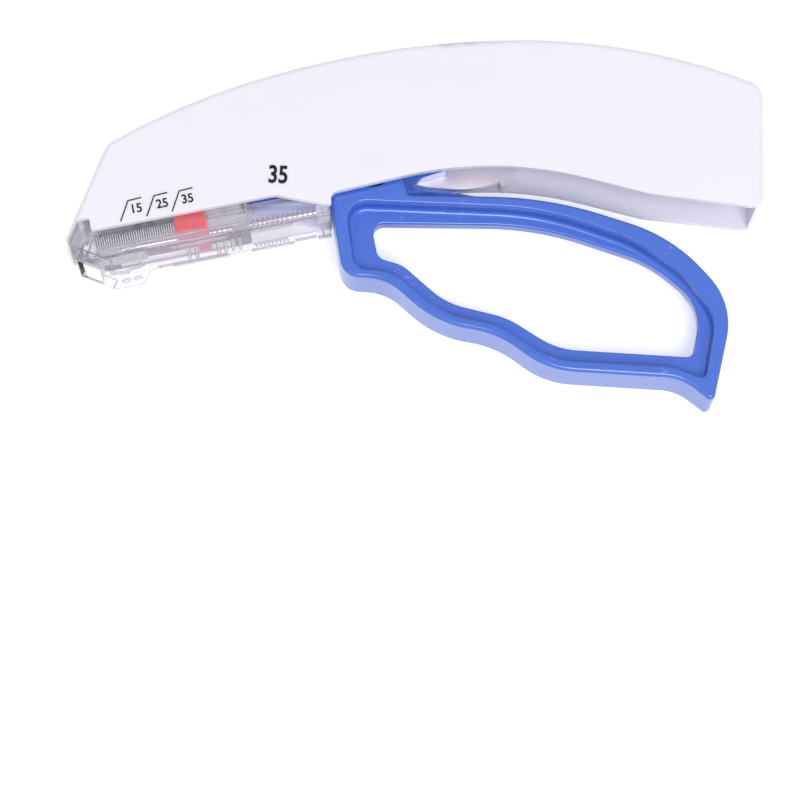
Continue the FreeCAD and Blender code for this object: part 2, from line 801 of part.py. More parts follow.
# Rivets with a head on each side of the arm
whole_rivets = []
head_levels = {
    "low": f"{arm_start} - Sizes.rivet_head",
    "high": f"{arm_start} + Sizes.arm_thickness",
}
for index, (x, y) in enumerate(rivets, start=1):
    shank = doc.addObject("Part::Cylinder", f"rivet_shank_{index}")
    shank.setExpression("Radius", "Sizes.rivet_radius")
    shank.setExpression("Height", "Sizes.arm_thickness")
    shank.setExpression("Placement.Base.z", arm_start)
    turnings = [shank]
    for side, level in head_levels.items():
        head = doc.addObject("Part::Cylinder", f"rivet_head_{side}_{index}")
        head.setExpression("Radius", "Sizes.rivet_head_radius")
        head.setExpression("Height", "Sizes.rivet_head")
        head.setExpression("Placement.Base.z", level)
        turnings.append(head)
    end = ("front", "rear")[index - 1]
    for turning in turnings:
        turning.setExpression("Placement.Base.x", f"Sizes.{end}_rivet_x")
        turning.setExpression("Placement.Base.y", f"Sizes.{end}_rivet_y")
    rivet = doc.addObject("Part::MultiFuse", f"rivet_{index}")
    rivet.Shapes = turnings
    whole_rivets.append(rivet)
lever_rivets = doc.addObject("Part::Compound", "lever_rivets")
lever_rivets.Label = "lever_rivets"
lever_rivets.Links = whole_rivets

# Return spring: its coil round the upper pivot boss, one leg on the housing's post and the
# other hooked into the trigger
spring = new_body("return_spring")
coil_base = f"{coil_floor} + Sizes.slot_clearance"
coil_outer = circle(0, 0, S.return_coil_radius + S.return_wire / 2)
add(spring, "coil", coil_outer, coil_base, "Sizes.return_coil_length - Sizes.slot_clearance")
coil_inner = circle(0, 0, S.return_coil_radius - S.return_wire / 2)
cut(spring, "coil_bore", coil_inner, coil_base, "Sizes.return_coil_length")
leg_x = S.return_coil_radius
leg = rectangle(leg_x - S.return_wire / 2, 0, leg_x + S.return_wire / 2, S.return_leg_reach)
leg_base = f"{rim_start} + Sizes.trigger_thickness + Sizes.slide_clearance"
leg_root = rectangle(
    leg_x - S.return_wire / 2,
    -S.return_wire / 2,
    leg_x + S.return_wire / 2,
    S.return_wire / 2,
)
add(spring, "leg_root", leg_root, coil_base, "Sizes.return_coil_length + Sizes.return_wire")
add(spring, "housing_leg", leg, leg_base, "Sizes.return_wire * 0.8")
hook_wire = circle(hook.x, hook.y, S.return_wire / 2)
add(spring, "trigger_hook", hook_wire, f"{coil_floor} - 1.6", "1.6 + Sizes.slot_clearance * 2")

# Former blade
blade = new_body("former_blade")
blade_start = "(Sizes.body_thickness - Sizes.blade_width) / 2"
blade_back = S.blade_depth + S.blade_thickness


def nose_rectangle(depth_low, rise_low, depth_high, rise_high, rounding=0.0):
    return rounded(
        [
            nose_corner(depth_low, rise_low, rounding),
            nose_corner(depth_high, rise_low, rounding),
            nose_corner(depth_high, rise_high, rounding),
            nose_corner(depth_low, rise_high, rounding),
        ]
    )


strip = nose_rectangle(S.blade_depth, S.blade_tip_rise, blade_back, S.blade_top_rise)
add(blade, "strip", strip, blade_start, "Sizes.blade_width")
tip_cut = nose_rectangle(
    S.blade_depth - 1, S.blade_tip_rise - 1, blade_back + 1, S.blade_tip_rise + S.blade_notch
)
notch_start = "(Sizes.body_thickness - Sizes.blade_notch_width) / 2"
cut(blade, "tip_notch", tip_cut, notch_start, "Sizes.blade_notch_width")
lever_window = nose_rectangle(
    S.blade_depth - 1, S.carrier_rise - S.lever_window_drop, blade_back + 1, S.blade_top_rise + 1
)
fork_start = f"{lever_start} - Sizes.slot_clearance"
fork_width = "Sizes.lever_thickness + 2 * Sizes.slot_clearance"
cut(blade, "lever_window", lever_window, fork_start, fork_width)

# Two cheeks on the back of the blade hold the drive pin, with the lever between them
carrier_start = "(Sizes.body_thickness - Sizes.carrier_thickness) / 2"
cheek_thickness = f"(Sizes.carrier_thickness - ({fork_width})) / 2"
cheek_levels = {"lower": carrier_start, "upper": f"{fork_start} + {fork_width}"}
for side, level in cheek_levels.items():
    cheek = new_body(f"former_cheek_{side}")
    plate = nose_rectangle(blade_back, S.carrier_rise, S.carrier_depth_end, S.blade_top_rise, 0.8)
    add(cheek, "plate", plate, level, cheek_thickness)
    pin_hole = circle(drive_pin_rest.x, drive_pin_rest.y, S.drive_pin_radius + S.fit_clearance)
    cut(cheek, "pin_hole", pin_hole, level, cheek_thickness)

drive_pin = new_body("drive_pin")
add(
    drive_pin,
    "shank",
    circle(drive_pin_rest.x, drive_pin_rest.y, S.drive_pin_radius),
    carrier_start,
    "Sizes.carrier_thickness",
)

# Magazine frame: two clear side plates joined by the floor and the jaw


def rise_at(depth, y):
    """Rise up the front edge at which a given depth reaches a given height."""
    return (y - NOSE.y + depth * math.sin(tilt)) / math.cos(tilt)


def ear_corners(x):
    high = S.magazine_top_y + S.ear_rise
    return [
        (x + S.ear_width / 2, S.magazine_top_y, 0.4),
        (x + S.ear_width / 2, high, 1.5),
        (x - S.ear_width / 2, high, 1.5),
        (x - S.ear_width / 2, S.magazine_top_y, 0.4),
    ]


frame_outline = [
    nose_corner(S.nose_plate_inset, rise_at(S.nose_plate_inset, S.nose_plate_top_y), 0.5),
    nose_corner(S.nose_plate_inset, 0, 0.4),
    nose_corner(S.jaw_front, 0, 0.3),
    nose_corner(S.jaw_front, -S.jaw_drop, 0.6),
    nose_corner(S.jaw_back, -S.jaw_drop, 1.0),
    (S.jaw_front_x, S.jaw_bottom_y, 1.0),
    (S.jaw_heel_x, S.jaw_bottom_y, 1.0),
    (S.jaw_rear_x, S.magazine_bottom_y, 0.8),
    (S.magazine_end_x, S.magazine_bottom_y, 0.6),
    (S.magazine_end_x, S.magazine_tail_y, 0.6),
    (S.magazine_step_x, S.magazine_tail_y, 0.5),
    (S.magazine_step_x, S.magazine_top_y, 0.5),
]
for ear_x in (S.rear_ear_x, S.front_ear_x):
    frame_outline += ear_corners(ear_x)
frame_outline += [
    (S.nose_plate_rear_x, S.magazine_top_y, 0.5),
    (S.nose_plate_rear_x, S.nose_plate_top_y, 0.5),
]
frame = new_body("magazine_frame")
frame_start = "(Sizes.body_thickness - Sizes.magazine_thickness) / 2"
cavity_start = f"{frame_start} + Sizes.magazine_wall"
cavity_width = "Sizes.magazine_thickness - 2 * Sizes.magazine_wall"
add(frame, "side_plates", rounded(frame_outline), frame_start, "Sizes.magazine_thickness")
slot_front_depth = S.blade_depth - S.slide_clearance
below_jaw = -S.jaw_drop - 1
cavity = [
    nose_corner(-1, S.nose_floor),
    nose_corner(slot_front_depth, S.nose_floor),
    nose_corner(slot_front_depth, below_jaw),
    nose_corner(S.staple_slot_back, below_jaw),
    nose_corner(S.staple_slot_back, rise_at(S.staple_slot_back, S.magazine_floor_y)),
    (S.magazine_end_x + 1, S.magazine_floor_y),
    (S.magazine_end_x + 1, S.body_thickness),
    nose_corner(-1, S.body_thickness),
]
cut(frame, "cavity", rounded(cavity), cavity_start, cavity_width)
jaw_side = rounded(
    [
        nose_corner(-1, -0.05),
        nose_corner(-1, -S.body_thickness),
        nose_corner(S.jaw_back + 1, -S.body_thickness),
        nose_corner(S.jaw_back + 1, -0.05),
    ]
)
side_step = "(Sizes.magazine_thickness - Sizes.jaw_thickness) / 2"
cut(frame, "jaw_side_lower", jaw_side, frame_start, side_step)
cut(frame, "jaw_side_upper", jaw_side, f"{frame_start} + Sizes.magazine_thickness - {side_step}", side_step)
anvil_seat = nose_rectangle(
    S.staple_slot_back - 1,
    below_jaw,
    S.anvil_back + S.fit_clearance,
    -S.jaw_drop + S.anvil_thickness + S.fit_clearance,
)
seat_start = "(Sizes.body_thickness - Sizes.anvil_width) / 2 - Sizes.fit_clearance"
cut(frame, "anvil_seat", anvil_seat, seat_start, "Sizes.anvil_width + 2 * Sizes.fit_clearance")
for index, ear_x in enumerate((S.front_ear_x, S.rear_ear_x), start=1):
    hole = circle(ear_x, ear_y(), S.ear_pin_radius + S.fit_clearance)
    cut(frame, f"ear_hole_{index}", hole, frame_start, "Sizes.magazine_thickness")

# Clear cover between the side plates
cover = new_body("magazine_cover")
cover_outline = rectangle(
    S.cover_front_x, S.magazine_top_y - S.cover_thickness, S.magazine_step_x, S.magazine_top_y
)
cover_start = f"{cavity_start} + Sizes.fit_clearance"
add(cover, "plate", cover_outline, cover_start, f"{cavity_width} - 2 * Sizes.fit_clearance")

# Anvil plate, flush with the jaw's face
anvil = new_body("anvil_plate")
anvil_outline = nose_rectangle(
    S.staple_slot_back, -S.jaw_drop, S.anvil_back, -S.jaw_drop + S.anvil_thickness
)
add(
    anvil,
    "plate",
    anvil_outline,
    "(Sizes.body_thickness - Sizes.anvil_width) / 2",
    "Sizes.anvil_width",
)

# Rail: an inverted channel that the staples straddle, on feet at both ends


def channel(top, low, width, sheet_thickness, rounding):
    """Corners (y, z) of an inverted channel, open towards the floor."""
    near = middle + width / 2
    far = middle - width / 2
    return [
        (low, far),
        (top, far, rounding + sheet_thickness),
        (top, near, rounding + sheet_thickness),
        (low, near),
        (low, near - sheet_thickness),
        (top - sheet_thickness, near - sheet_thickness, rounding),
        (top - sheet_thickness, far + sheet_thickness, rounding),
        (low, far + sheet_thickness),
    ]


rail_top_y = S.crown_top_y - S.wire - S.slide_clearance
rail_channel = channel(rail_top_y, S.rail_flange_y, S.rail_width, S.rail_sheet, 0.3)
rail = new_body("staple_rail")
rail_length = "Sizes.magazine_step_x - Sizes.stack_front_x"
add(rail, "channel", rounded(rail_channel), "Sizes.stack_front_x", rail_length, "YZ_Plane")
foot_fronts = (S.stack_front_x + 1, S.magazine_step_x - S.rail_foot)
for side, foot_level in (
    ("lower", "(Sizes.body_thickness - Sizes.rail_width) / 2"),
    ("upper", "(Sizes.body_thickness + Sizes.rail_width) / 2 - Sizes.rail_sheet"),
):
    for index, foot_x in enumerate(foot_fronts, start=1):
        foot = rectangle(foot_x, S.magazine_floor_y, foot_x + S.rail_foot, S.rail_flange_y + 0.5)
        add(rail, f"{side}_foot_{index}", foot, foot_level, "Sizes.rail_sheet")

# One staple, repeated along the rail
staple = new_body("staple")
leg_end_y = S.crown_top_y - S.staple_leg
staple_outline = channel(S.crown_top_y, leg_end_y, S.staple_width, S.wire, 0.3)
add(staple, "bent_wire", rounded(staple_outline), "Sizes.stack_front_x", "Sizes.wire", "YZ_Plane")
stack = doc.addObject("Part::Feature", "staple_stack")
stack.Label = "staple_stack"
copies = []
for number in range(int(S.staple_count)):
    copy = staple.Shape.Solids[0].copy()
    copy.translate(Vector(number * S.staple_pitch, 0, 0))
    copies.append(copy)
stack.Shape = Part.makeCompound(copies)

# Pusher: a saddle over the rail, with a block inside it that the spring pushes
pusher = new_body("pusher")
pusher_front_x = S.stack_front_x + S.staple_count * S.staple_pitch + S.fit_clearance
pusher_rear_x = pusher_front_x + S.pusher_length
pusher_start = "(Sizes.body_thickness - Sizes.pusher_width) / 2"
pusher_outline = rounded(
    [
        (pusher_front_x, S.pusher_foot_y, 0.3),
        (pusher_rear_x, S.pusher_foot_y, 0.3),
        (pusher_rear_x, S.pusher_top_y, 0.8),
        (pusher_front_x, S.pusher_top_y, 0.8),
    ]
)
add(pusher, "saddle", pusher_outline, pusher_start, "Sizes.pusher_width")
clear_channel = rounded(rail_channel, -S.slide_clearance)
far_ahead = "Sizes.stack_front_x"
whole_length = "Sizes.magazine_step_x - Sizes.stack_front_x"
cut(pusher, "rail_channel", clear_channel, far_ahead, whole_length, "YZ_Plane")
side_cut = rectangle(
    pusher_front_x - 1, S.pusher_foot_y - 1, pusher_rear_x - S.pusher_foot, S.pusher_side_y
)
under_cut = rectangle(
    pusher_front_x - 1, S.pusher_foot_y - 1, pusher_rear_x - S.pusher_foot, S.rail_flange_y
)
cut(pusher, "underside", under_cut, pusher_start, "Sizes.pusher_width")
side_depth = "(Sizes.pusher_width - Sizes.rail_width) / 2 - Sizes.slide_clearance"
cut(pusher, "lower_side", side_cut, pusher_start, side_depth)
cut(pusher, "upper_side", side_cut, f"{pusher_start} + Sizes.pusher_width - ({side_depth})", side_depth)
rod_bore = circle(S.rod_y, middle, S.rod_radius + S.slide_clearance)
cut(pusher, "rod_bore", rod_bore, far_ahead, whole_length, "YZ_Plane")

# Feed spring, its guide rod and the plug that holds both
plug_front_x = S.magazine_end_x - S.plug_length
rod = new_body("guide_rod")
rod_outline = circle(S.rod_y, middle, S.rod_radius)
rod_length = "Sizes.magazine_end_x - Sizes.rod_front_x - 0.5"
add(rod, "rod", rod_outline, "Sizes.rod_front_x", rod_length, "YZ_Plane")

plug = new_body("spring_plug")
plug_top = S.rod_y + S.feed_spring_radius
plug_outline = rounded(
    [
        (plug_front_x, S.magazine_floor_y + S.fit_clearance),
        (S.magazine_end_x - S.slide_clearance, S.magazine_floor_y + S.fit_clearance),
        (S.magazine_end_x - S.slide_clearance, plug_top, 0.6),
        (plug_front_x, plug_top, 0.6),
    ]
)
plug_start = "(Sizes.body_thickness - Sizes.plug_width) / 2"
add(plug, "block", plug_outline, plug_start, "Sizes.plug_width")
plug_bore = circle(S.rod_y, middle, S.rod_radius + S.fit_clearance)
plug_start_x = "Sizes.magazine_end_x - Sizes.plug_length - 1"
cut(plug, "rod_hole", plug_bore, plug_start_x, "Sizes.plug_length + 1", "YZ_Plane")

feed = new_body("pusher_spring")
feed_outer = circle(S.rod_y, middle, S.feed_spring_radius)
feed_inner = circle(S.rod_y, middle, S.feed_spring_radius - S.feed_spring_wire)
feed_start = (
    "Sizes.stack_front_x + Sizes.staple_count * Sizes.staple_pitch + Sizes.fit_clearance"
    " + Sizes.pusher_length + Sizes.fit_clearance"
)
feed_length = f"Sizes.magazine_end_x - Sizes.plug_length - Sizes.fit_clearance - ({feed_start})"
add(feed, "coil", feed_outer, feed_start, feed_length, "YZ_Plane")
cut(feed, "coil_bore", feed_inner, feed_start, feed_length, "YZ_Plane")

# Leaf spring that lifts the closed staple off the anvil
leaf = new_body("ejector_spring")
leaf_low = S.magazine_floor_y + S.fit_clearance
leaf_outline = rounded(
    [
        (S.leaf_front_x, leaf_low + S.leaf_rise),
        (S.leaf_bend_x, leaf_low, 4.0),
        (S.leaf_rear_x, leaf_low),
        (S.leaf_rear_x, leaf_low + S.leaf_sheet),
        (S.leaf_bend_x, leaf_low + S.leaf_sheet, 3.7),
        (S.leaf_front_x, leaf_low + S.leaf_rise + S.leaf_sheet),
    ]
)
leaf_start = "(Sizes.body_thickness - Sizes.leaf_width) / 2"
add(leaf, "strip", leaf_outline, leaf_start, "Sizes.leaf_width")

doc.recompute()

# Write each piece to a file of its own name
NODES = [
    "housing_lower",
    "housing_upper",
    "pivot_pin",
    "trigger",
    "drive_lever",
    "lever_rivets",
    "return_spring",
    "former_blade",
    "former_cheek_lower",
    "former_cheek_upper",
    "drive_pin",
    "magazine_frame",
    "magazine_cover",
    "anvil_plate",
    "ejector_spring",
    "staple_rail",
    "staple_stack",
    "pusher",
    "guide_rod",
    "spring_plug",
    "pusher_spring",
]
for item in doc.Objects:
    if "Invalid" in item.State or "Error" in item.State:
        raise RuntimeError(f"{item.Label} did not build: {item.State}")
pieces = {label: doc.getObjectsByLabel(label)[0] for label in NODES}
for label, piece in pieces.items():
    if piece.Shape.isNull() or not piece.Shape.isValid() or not piece.Shape.Solids:
        raise RuntimeError(f"{label} has no valid shape")
for label, piece in pieces.items():
    piece.Shape.exportStep(f"parts/{label}.step")
    box = piece.Shape.BoundBox
    print(
        f"{label}: {len(piece.Shape.Solids)} solids, volume {piece.Shape.Volume:.1f},"
        f" x {box.XMin:.2f} {box.XMax:.2f}, y {box.YMin:.2f} {box.YMax:.2f}, z {box.ZMin:.2f} {box.ZMax:.2f}"
    )
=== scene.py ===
"""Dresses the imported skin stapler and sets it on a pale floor, as in the photograph.

The housing, trigger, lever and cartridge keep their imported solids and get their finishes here.
The staples, both springs, the printed gauge and the cartridge's small moulded detail are made here.
"""

import logging
import math
from dataclasses import dataclass, field
from enum import Enum
from typing import Any, Mapping, Sequence

import bmesh
import bpy
from mathutils import Matrix, Vector


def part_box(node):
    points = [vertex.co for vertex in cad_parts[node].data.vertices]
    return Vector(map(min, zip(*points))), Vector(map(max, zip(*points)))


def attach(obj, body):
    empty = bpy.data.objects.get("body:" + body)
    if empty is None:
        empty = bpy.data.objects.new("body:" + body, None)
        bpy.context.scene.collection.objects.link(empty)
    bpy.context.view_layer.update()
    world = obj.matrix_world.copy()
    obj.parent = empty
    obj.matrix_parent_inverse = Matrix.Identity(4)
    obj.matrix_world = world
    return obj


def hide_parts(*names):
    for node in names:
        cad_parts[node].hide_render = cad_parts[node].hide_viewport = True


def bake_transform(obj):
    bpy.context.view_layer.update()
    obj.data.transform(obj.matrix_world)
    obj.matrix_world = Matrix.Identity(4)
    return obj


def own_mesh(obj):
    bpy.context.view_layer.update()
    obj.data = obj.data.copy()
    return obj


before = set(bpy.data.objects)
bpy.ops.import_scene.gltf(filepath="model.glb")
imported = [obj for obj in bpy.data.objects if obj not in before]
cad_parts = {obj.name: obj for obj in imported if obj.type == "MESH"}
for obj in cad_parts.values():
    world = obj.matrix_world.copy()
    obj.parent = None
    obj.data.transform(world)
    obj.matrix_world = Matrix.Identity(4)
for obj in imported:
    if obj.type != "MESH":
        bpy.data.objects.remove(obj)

LOG = logging.getLogger("stapler")
MM = 0.001
Colour = tuple[float, float, float]
Point = tuple[float, float]
# Colour of the painted shade between neighbouring staple wires.
WIRE_GAP_SHADE = (0.05, 0.045, 0.05)


def linear(red: int, green: int, blue: int) -> Colour:
    """Turns a colour as a screen shows it into the linear one that shaders use.

    Args:
        red: Red, from 0 to 255.
        green: Green, from 0 to 255.
        blue: Blue, from 0 to 255.

    Returns:
        The three linear values.
    """

    def one(value: int) -> float:
        """One channel, from 0 to 255, made linear."""
        share = value / 255
        return share / 12.92 if share <= 0.04045 else ((share + 0.055) / 1.055) ** 2.4

    return one(red), one(green), one(blue)


class Body(Enum):
    """The bodies that pieces ride on."""

    BASE = "base"
    TRIGGER = "trigger"
    PUSHER = "pusher"


class Side(Enum):
    """The two faces of the cartridge, by which way they look."""

    LOWER = -1
    UPPER = 1


class Expression:
    """A node's output that maths can be written with."""

    def __init__(self, graph: "NodeGraph", socket: bpy.types.NodeSocket) -> None:
        """Wraps a socket of a graph."""
        self.graph = graph
        self.socket = socket

    def maths(self, operation: str, *terms: Any, clamp: bool = False) -> "Expression":
        """Adds a Math node.

        Args:
            operation: The node's operation.
            terms: Numbers or expressions, in the node's order.
            clamp: Whether the result is kept between 0 and 1.

        Returns:
            The node's result.
        """
        settings = {"operation": operation, "use_clamp": clamp}
        node = self.graph.node("ShaderNodeMath", settings, dict(enumerate(terms)))
        return Expression(self.graph, node.outputs[0])

    def __add__(self, other: Any) -> "Expression":
        """Sum."""
        return self.maths("ADD", self, other)

    def __sub__(self, other: Any) -> "Expression":
        """Difference."""
        return self.maths("SUBTRACT", self, other)

    def __rsub__(self, other: Any) -> "Expression":
        """Difference, the other way round."""
        return self.maths("SUBTRACT", other, self)

    def __mul__(self, other: Any) -> "Expression":
        """Product."""
        return self.maths("MULTIPLY", self, other)

    def __truediv__(self, other: Any) -> "Expression":
        """Quotient."""
        return self.maths("DIVIDE", self, other)

    def __abs__(self) -> "Expression":
        """Distance from zero."""
        return self.maths("ABSOLUTE", self)

    __radd__ = __add__
    __rmul__ = __mul__

    def clamped(self) -> "Expression":
        """The same value, kept between 0 and 1."""
        return self.maths("ADD", self, 0.0, clamp=True)


class NodeGraph:
    """A node tree with one way of adding nodes."""

    def __init__(self, tree: bpy.types.NodeTree) -> None:
        """Starts on a tree."""
        self.tree = tree

    def node(
        self,
        kind: str,
        settings: Mapping[str, Any] | None = None,
        sockets: Mapping[str | int, Any] | None = None,
    ) -> bpy.types.Node:
        """Adds a node.

        Args:
            kind: The node's type.
            settings: Its own properties, set first.
            sockets: Values, sockets or expressions for its inputs.

        Returns:
            The new node.
        """
        made = self.tree.nodes.new(kind)
        for name, value in (settings or {}).items():
            setattr(made, name, value)
        for key, value in (sockets or {}).items():
            self.feed(value, made.inputs[key])
        return made

    def feed(self, value: Any, socket: bpy.types.NodeSocket) -> None:
        """Links or sets one input.

        Args:
            value: A socket, an expression, or a plain value.
            socket: The input.
        """
        if isinstance(value, Expression):
            value = value.socket
        if isinstance(value, bpy.types.NodeSocket):
            self.tree.links.new(value, socket)
        elif socket.type == "RGBA" and len(value) == 3:
            socket.default_value = (*value, 1.0)
        else:
            socket.default_value = value


class Shader(NodeGraph):
    """The nodes of one material."""

    def __init__(self, name: str) -> None:
        """Makes an empty material of that name."""
        self.material = bpy.data.materials.new(name)
        self.material.use_nodes = True
        self.material.node_tree.nodes.clear()
        super().__init__(self.material.node_tree)
        self.place = self.node("ShaderNodeTexCoord").outputs["Object"]

    def value(self, socket: bpy.types.NodeSocket) -> Expression:
        """Wraps a socket for maths."""
        return Expression(self, socket)

    def along(self, axis: str) -> Expression:
        """Place of the point along an axis, in metres."""
        split = self.node("ShaderNodeSeparateXYZ", None, {"Vector": self.place})
        return self.value(split.outputs[axis])

    def noise(
        self, size: float, detail: float = 2.0, stretch: Sequence[float] = (1, 1, 1)
    ) -> Expression:
        """Smooth noise over the surface.

        Args:
            size: Size of its grains, in metres.
            detail: Number of finer layers.
            stretch: How many times longer the grains are along each axis.

        Returns:
            The noise, about 0.5 on average.
        """
        scale = tuple(1.0 / times for times in stretch)
        turned = self.node("ShaderNodeMapping", None, {"Vector": self.place, "Scale": scale})
        sockets = {"Vector": turned.outputs[0], "Scale": 1.0 / size, "Detail": detail}
        return self.value(self.node("ShaderNodeTexNoise", None, sockets).outputs[0])

    def blended(self, first: Any, second: Colour, share: Expression) -> bpy.types.NodeSocket:
        """Colour between two, by a share that changes over the surface.

        Args:
            first: Colour where the share is 0, plain or itself changing over the surface.
            second: Colour where the share is 1.
            share: The share.

        Returns:
            The mixed colour.
        """
        mixed = self.node("ShaderNodeMix", {"data_type": "RGBA"}, {0: share, 6: first, 7: second})
        return mixed.outputs[2]

    def edges(self, width: float, gain: float = 3.4) -> Expression:
        """Share that is 1 on the sharp edges of the solid and 0 on its faces.

        Args:
            width: How far from an edge the share reaches, in metres.
            gain: How quickly it rises to 1.

        Returns:
            The share.
        """
        rounded = self.node("ShaderNodeBevel", {"samples": 6}, {"Radius": width})
        flat = self.node("ShaderNodeNewGeometry").outputs["Normal"]
        settings = {"operation": "DOT_PRODUCT"}
        level = self.node("ShaderNodeVectorMath", settings, {0: rounded.outputs[0], 1: flat})
        return ((1 - self.value(level.outputs["Value"])) * gain).clamped()

    def sideways(self) -> Expression:
        """Share that is 1 where the surface faces along the rail, and 0 where it faces across it."""
        normal = self.node("ShaderNodeTexCoord").outputs["Normal"]
        split = self.node("ShaderNodeSeparateXYZ", None, {"Vector": normal})
        return abs(self.value(split.outputs["X"]))

    def relief(self, depth: Expression) -> bpy.types.NodeSocket:
        """Normal of a surface raised by a depth in metres."""
        sockets = {"Strength": 1.0, "Distance": 1.0, "Height": depth}
        return self.node("ShaderNodeBump", None, sockets).outputs[0]

    def surface(self, sockets: Mapping[str, Any], passed: float = 0.0) -> bpy.types.Material:
        """Ends the material in a Principled surface.

        Args:
            sockets: Values and links of the surface shader.
            passed: Share of the light that reaches what the surface would shade.

        Returns:
            The finished material.
        """
        shader = self.node("ShaderNodeBsdfPrincipled", None, sockets).outputs[0]
        if passed:
            shading = self.value(self.node("ShaderNodeLightPath").outputs["Is Shadow Ray"])
            open_air = self.node("ShaderNodeBsdfTransparent", None, {"Color": (1, 1, 1)}).outputs[0]
            mixing = {0: shading * passed, 1: shader, 2: open_air}
            shader = self.node("ShaderNodeMixShader", None, mixing).outputs[0]
        self.node("ShaderNodeOutputMaterial", None, {"Surface": shader})
        return self.material


@dataclass(frozen=True)
class MouldedPlastic:
    """Opaque moulded plastic, with flow marks, scuffs and a parting line at mid thickness."""

    name: str
    colour: Colour
    flow_colour: Colour
    roughness: float
    coat: float
    milkiness: float = 0.0
    light_depth: float = 1.6 * MM
    scuffs: float = 0.0
    scuff_colour: Colour = (0.5, 0.6, 0.9)
    grain: float = 0.5 * MM
    grain_depth: float = 0.0003 * MM
    parting_height: float = 10.0 * MM
    parting_width: float = 0.11 * MM
    parting_depth: float = 0.05 * MM

    def scuffed(self, shader: Shader) -> Expression:
        """Share of short fine scuffs, gathered in a few places.

        Args:
            shader: The material's nodes.

        Returns:
            The share, mostly 0.
        """
        streaks = shader.noise(0.22 * MM, 2.0, (9, 3, 1))
        places = shader.noise(11 * MM, 1.0)
        return ((streaks - 0.62) * 9.0).clamped() * ((places - 0.56) * 14.0).clamped() * self.scuffs

    def build(self) -> bpy.types.Material:
        """Builds the material."""
        shader = Shader(self.name)
        flow = shader.noise(14 * MM, 3.0, (2.5, 1, 1))
        speckle = shader.noise(1.2 * MM, 4.0)
        grain = shader.noise(self.grain, 2.0)
        ripple = shader.noise(9 * MM, 1.0)
        offset = abs(shader.along("Z") - self.parting_height)
        seam = (1 - offset / self.parting_width).clamped()
        scuff = self.scuffed(shader)
        share = (flow * 1.1 - 0.1 + seam * 0.6).clamped()
        plain = shader.blended(self.colour, self.flow_colour, share)
        depth = grain * self.grain_depth + ripple * (0.01 * MM) - seam * self.parting_depth
        return shader.surface(
            {
                "Base Color": shader.blended(plain, self.scuff_colour, scuff),
                "Roughness": (speckle * 0.1 + scuff * 0.3 + (self.roughness - 0.05)).clamped(),
                "IOR": 1.5,
                "Subsurface Weight": self.milkiness,
                "Subsurface Radius": (1.0, 0.95, 1.0),
                "Subsurface Scale": self.light_depth,
                "Coat Weight": self.coat,
                "Coat Roughness": 0.12,
                "Normal": shader.relief(depth),
            }
        )


@dataclass(frozen=True)
class ClearPlastic:
    """Clear moulded plastic, with a breath of haze on its faces, and painted highlights and painted
    dark lines along its edges that stand in for refraction.

    The haze is thin beside the staples, thicker below the rail and behind the pusher, and darker in
    the upper part of the tail, where it paints the shadow of the housing's lip.
    """

    name: str
    colour: Colour
    low_colour: Colour
    # This colour paints the shadow of the housing's lip on the tail.
    tail_painted_shadow_colour: Colour
    # This colour paints dark lines on the edges, standing in for refraction.
    painted_edge_shade_colour: Colour
    # This colour paints highlights just inside the edges.
    painted_highlight_colour: Colour = (1.0, 0.99, 1.0)
    cover: float = 0.08
    haze_cover: float = 0.16
    haze_top: float = -7.3 * MM
    haze_front: float = -41.3 * MM
    haze_fade: float = 1.2 * MM
    tail_front: float = -33.0 * MM
    tail_low: float = -6.4 * MM
    tail_painted_shadow_cover: float = 0.14
    painted_highlight_cover: float = 0.16
    painted_edge_shade_cover: float = 0.68
    edge_width: float = 0.5 * MM
    passed: float = 0.9

    def build(self) -> bpy.types.Material:
        """Builds the material, which lets most of the light through to what lies behind it."""
        shader = Shader(self.name)
        ripple = shader.noise(2.2 * MM, 2.0, (3, 1, 1))
        haze = shader.noise(1.6 * MM, 3.0, (2, 1, 1))
        near = shader.edges(self.edge_width)
        # Painted highlight just inside each edge, and a painted dark line on the edge itself, standing
        # in for refraction.
        painted_highlight = (near * 8.0).clamped()
        edge = (near * 6.0 - 1.2).clamped()
        low = ((self.haze_top - shader.along("Y")) / self.haze_fade).clamped()
        rear = ((shader.along("X") - self.haze_front) / self.haze_fade).clamped()
        # Painted shadow of the housing's lip: darker, denser haze in the upper part of the tail.
        behind = ((shader.along("X") - self.tail_front) / self.haze_fade).clamped()
        tail = ((shader.along("Y") - self.tail_low) / self.haze_fade).clamped() * behind
        misty = (low + rear).clamped() * self.haze_cover + tail * self.tail_painted_shadow_cover
        body = shader.blended(self.colour, self.low_colour, low)
        body = shader.blended(body, self.tail_painted_shadow_colour, tail)
        body = shader.blended(body, self.painted_highlight_colour, painted_highlight)
        lines = painted_highlight * self.painted_highlight_cover + edge * self.painted_edge_shade_cover
        cover = misty + lines + haze * 0.12 + (self.cover - 0.06)
        return shader.surface(
            {
                "Base Color": shader.blended(body, self.painted_edge_shade_colour, edge),
                "Roughness": (haze * 0.08 + 0.02).clamped(),
                "IOR": 1.5,
                "Alpha": cover.clamped(),
                "Normal": shader.relief(ripple * (0.006 * MM) + haze * (0.001 * MM)),
            },
            self.passed,
        )


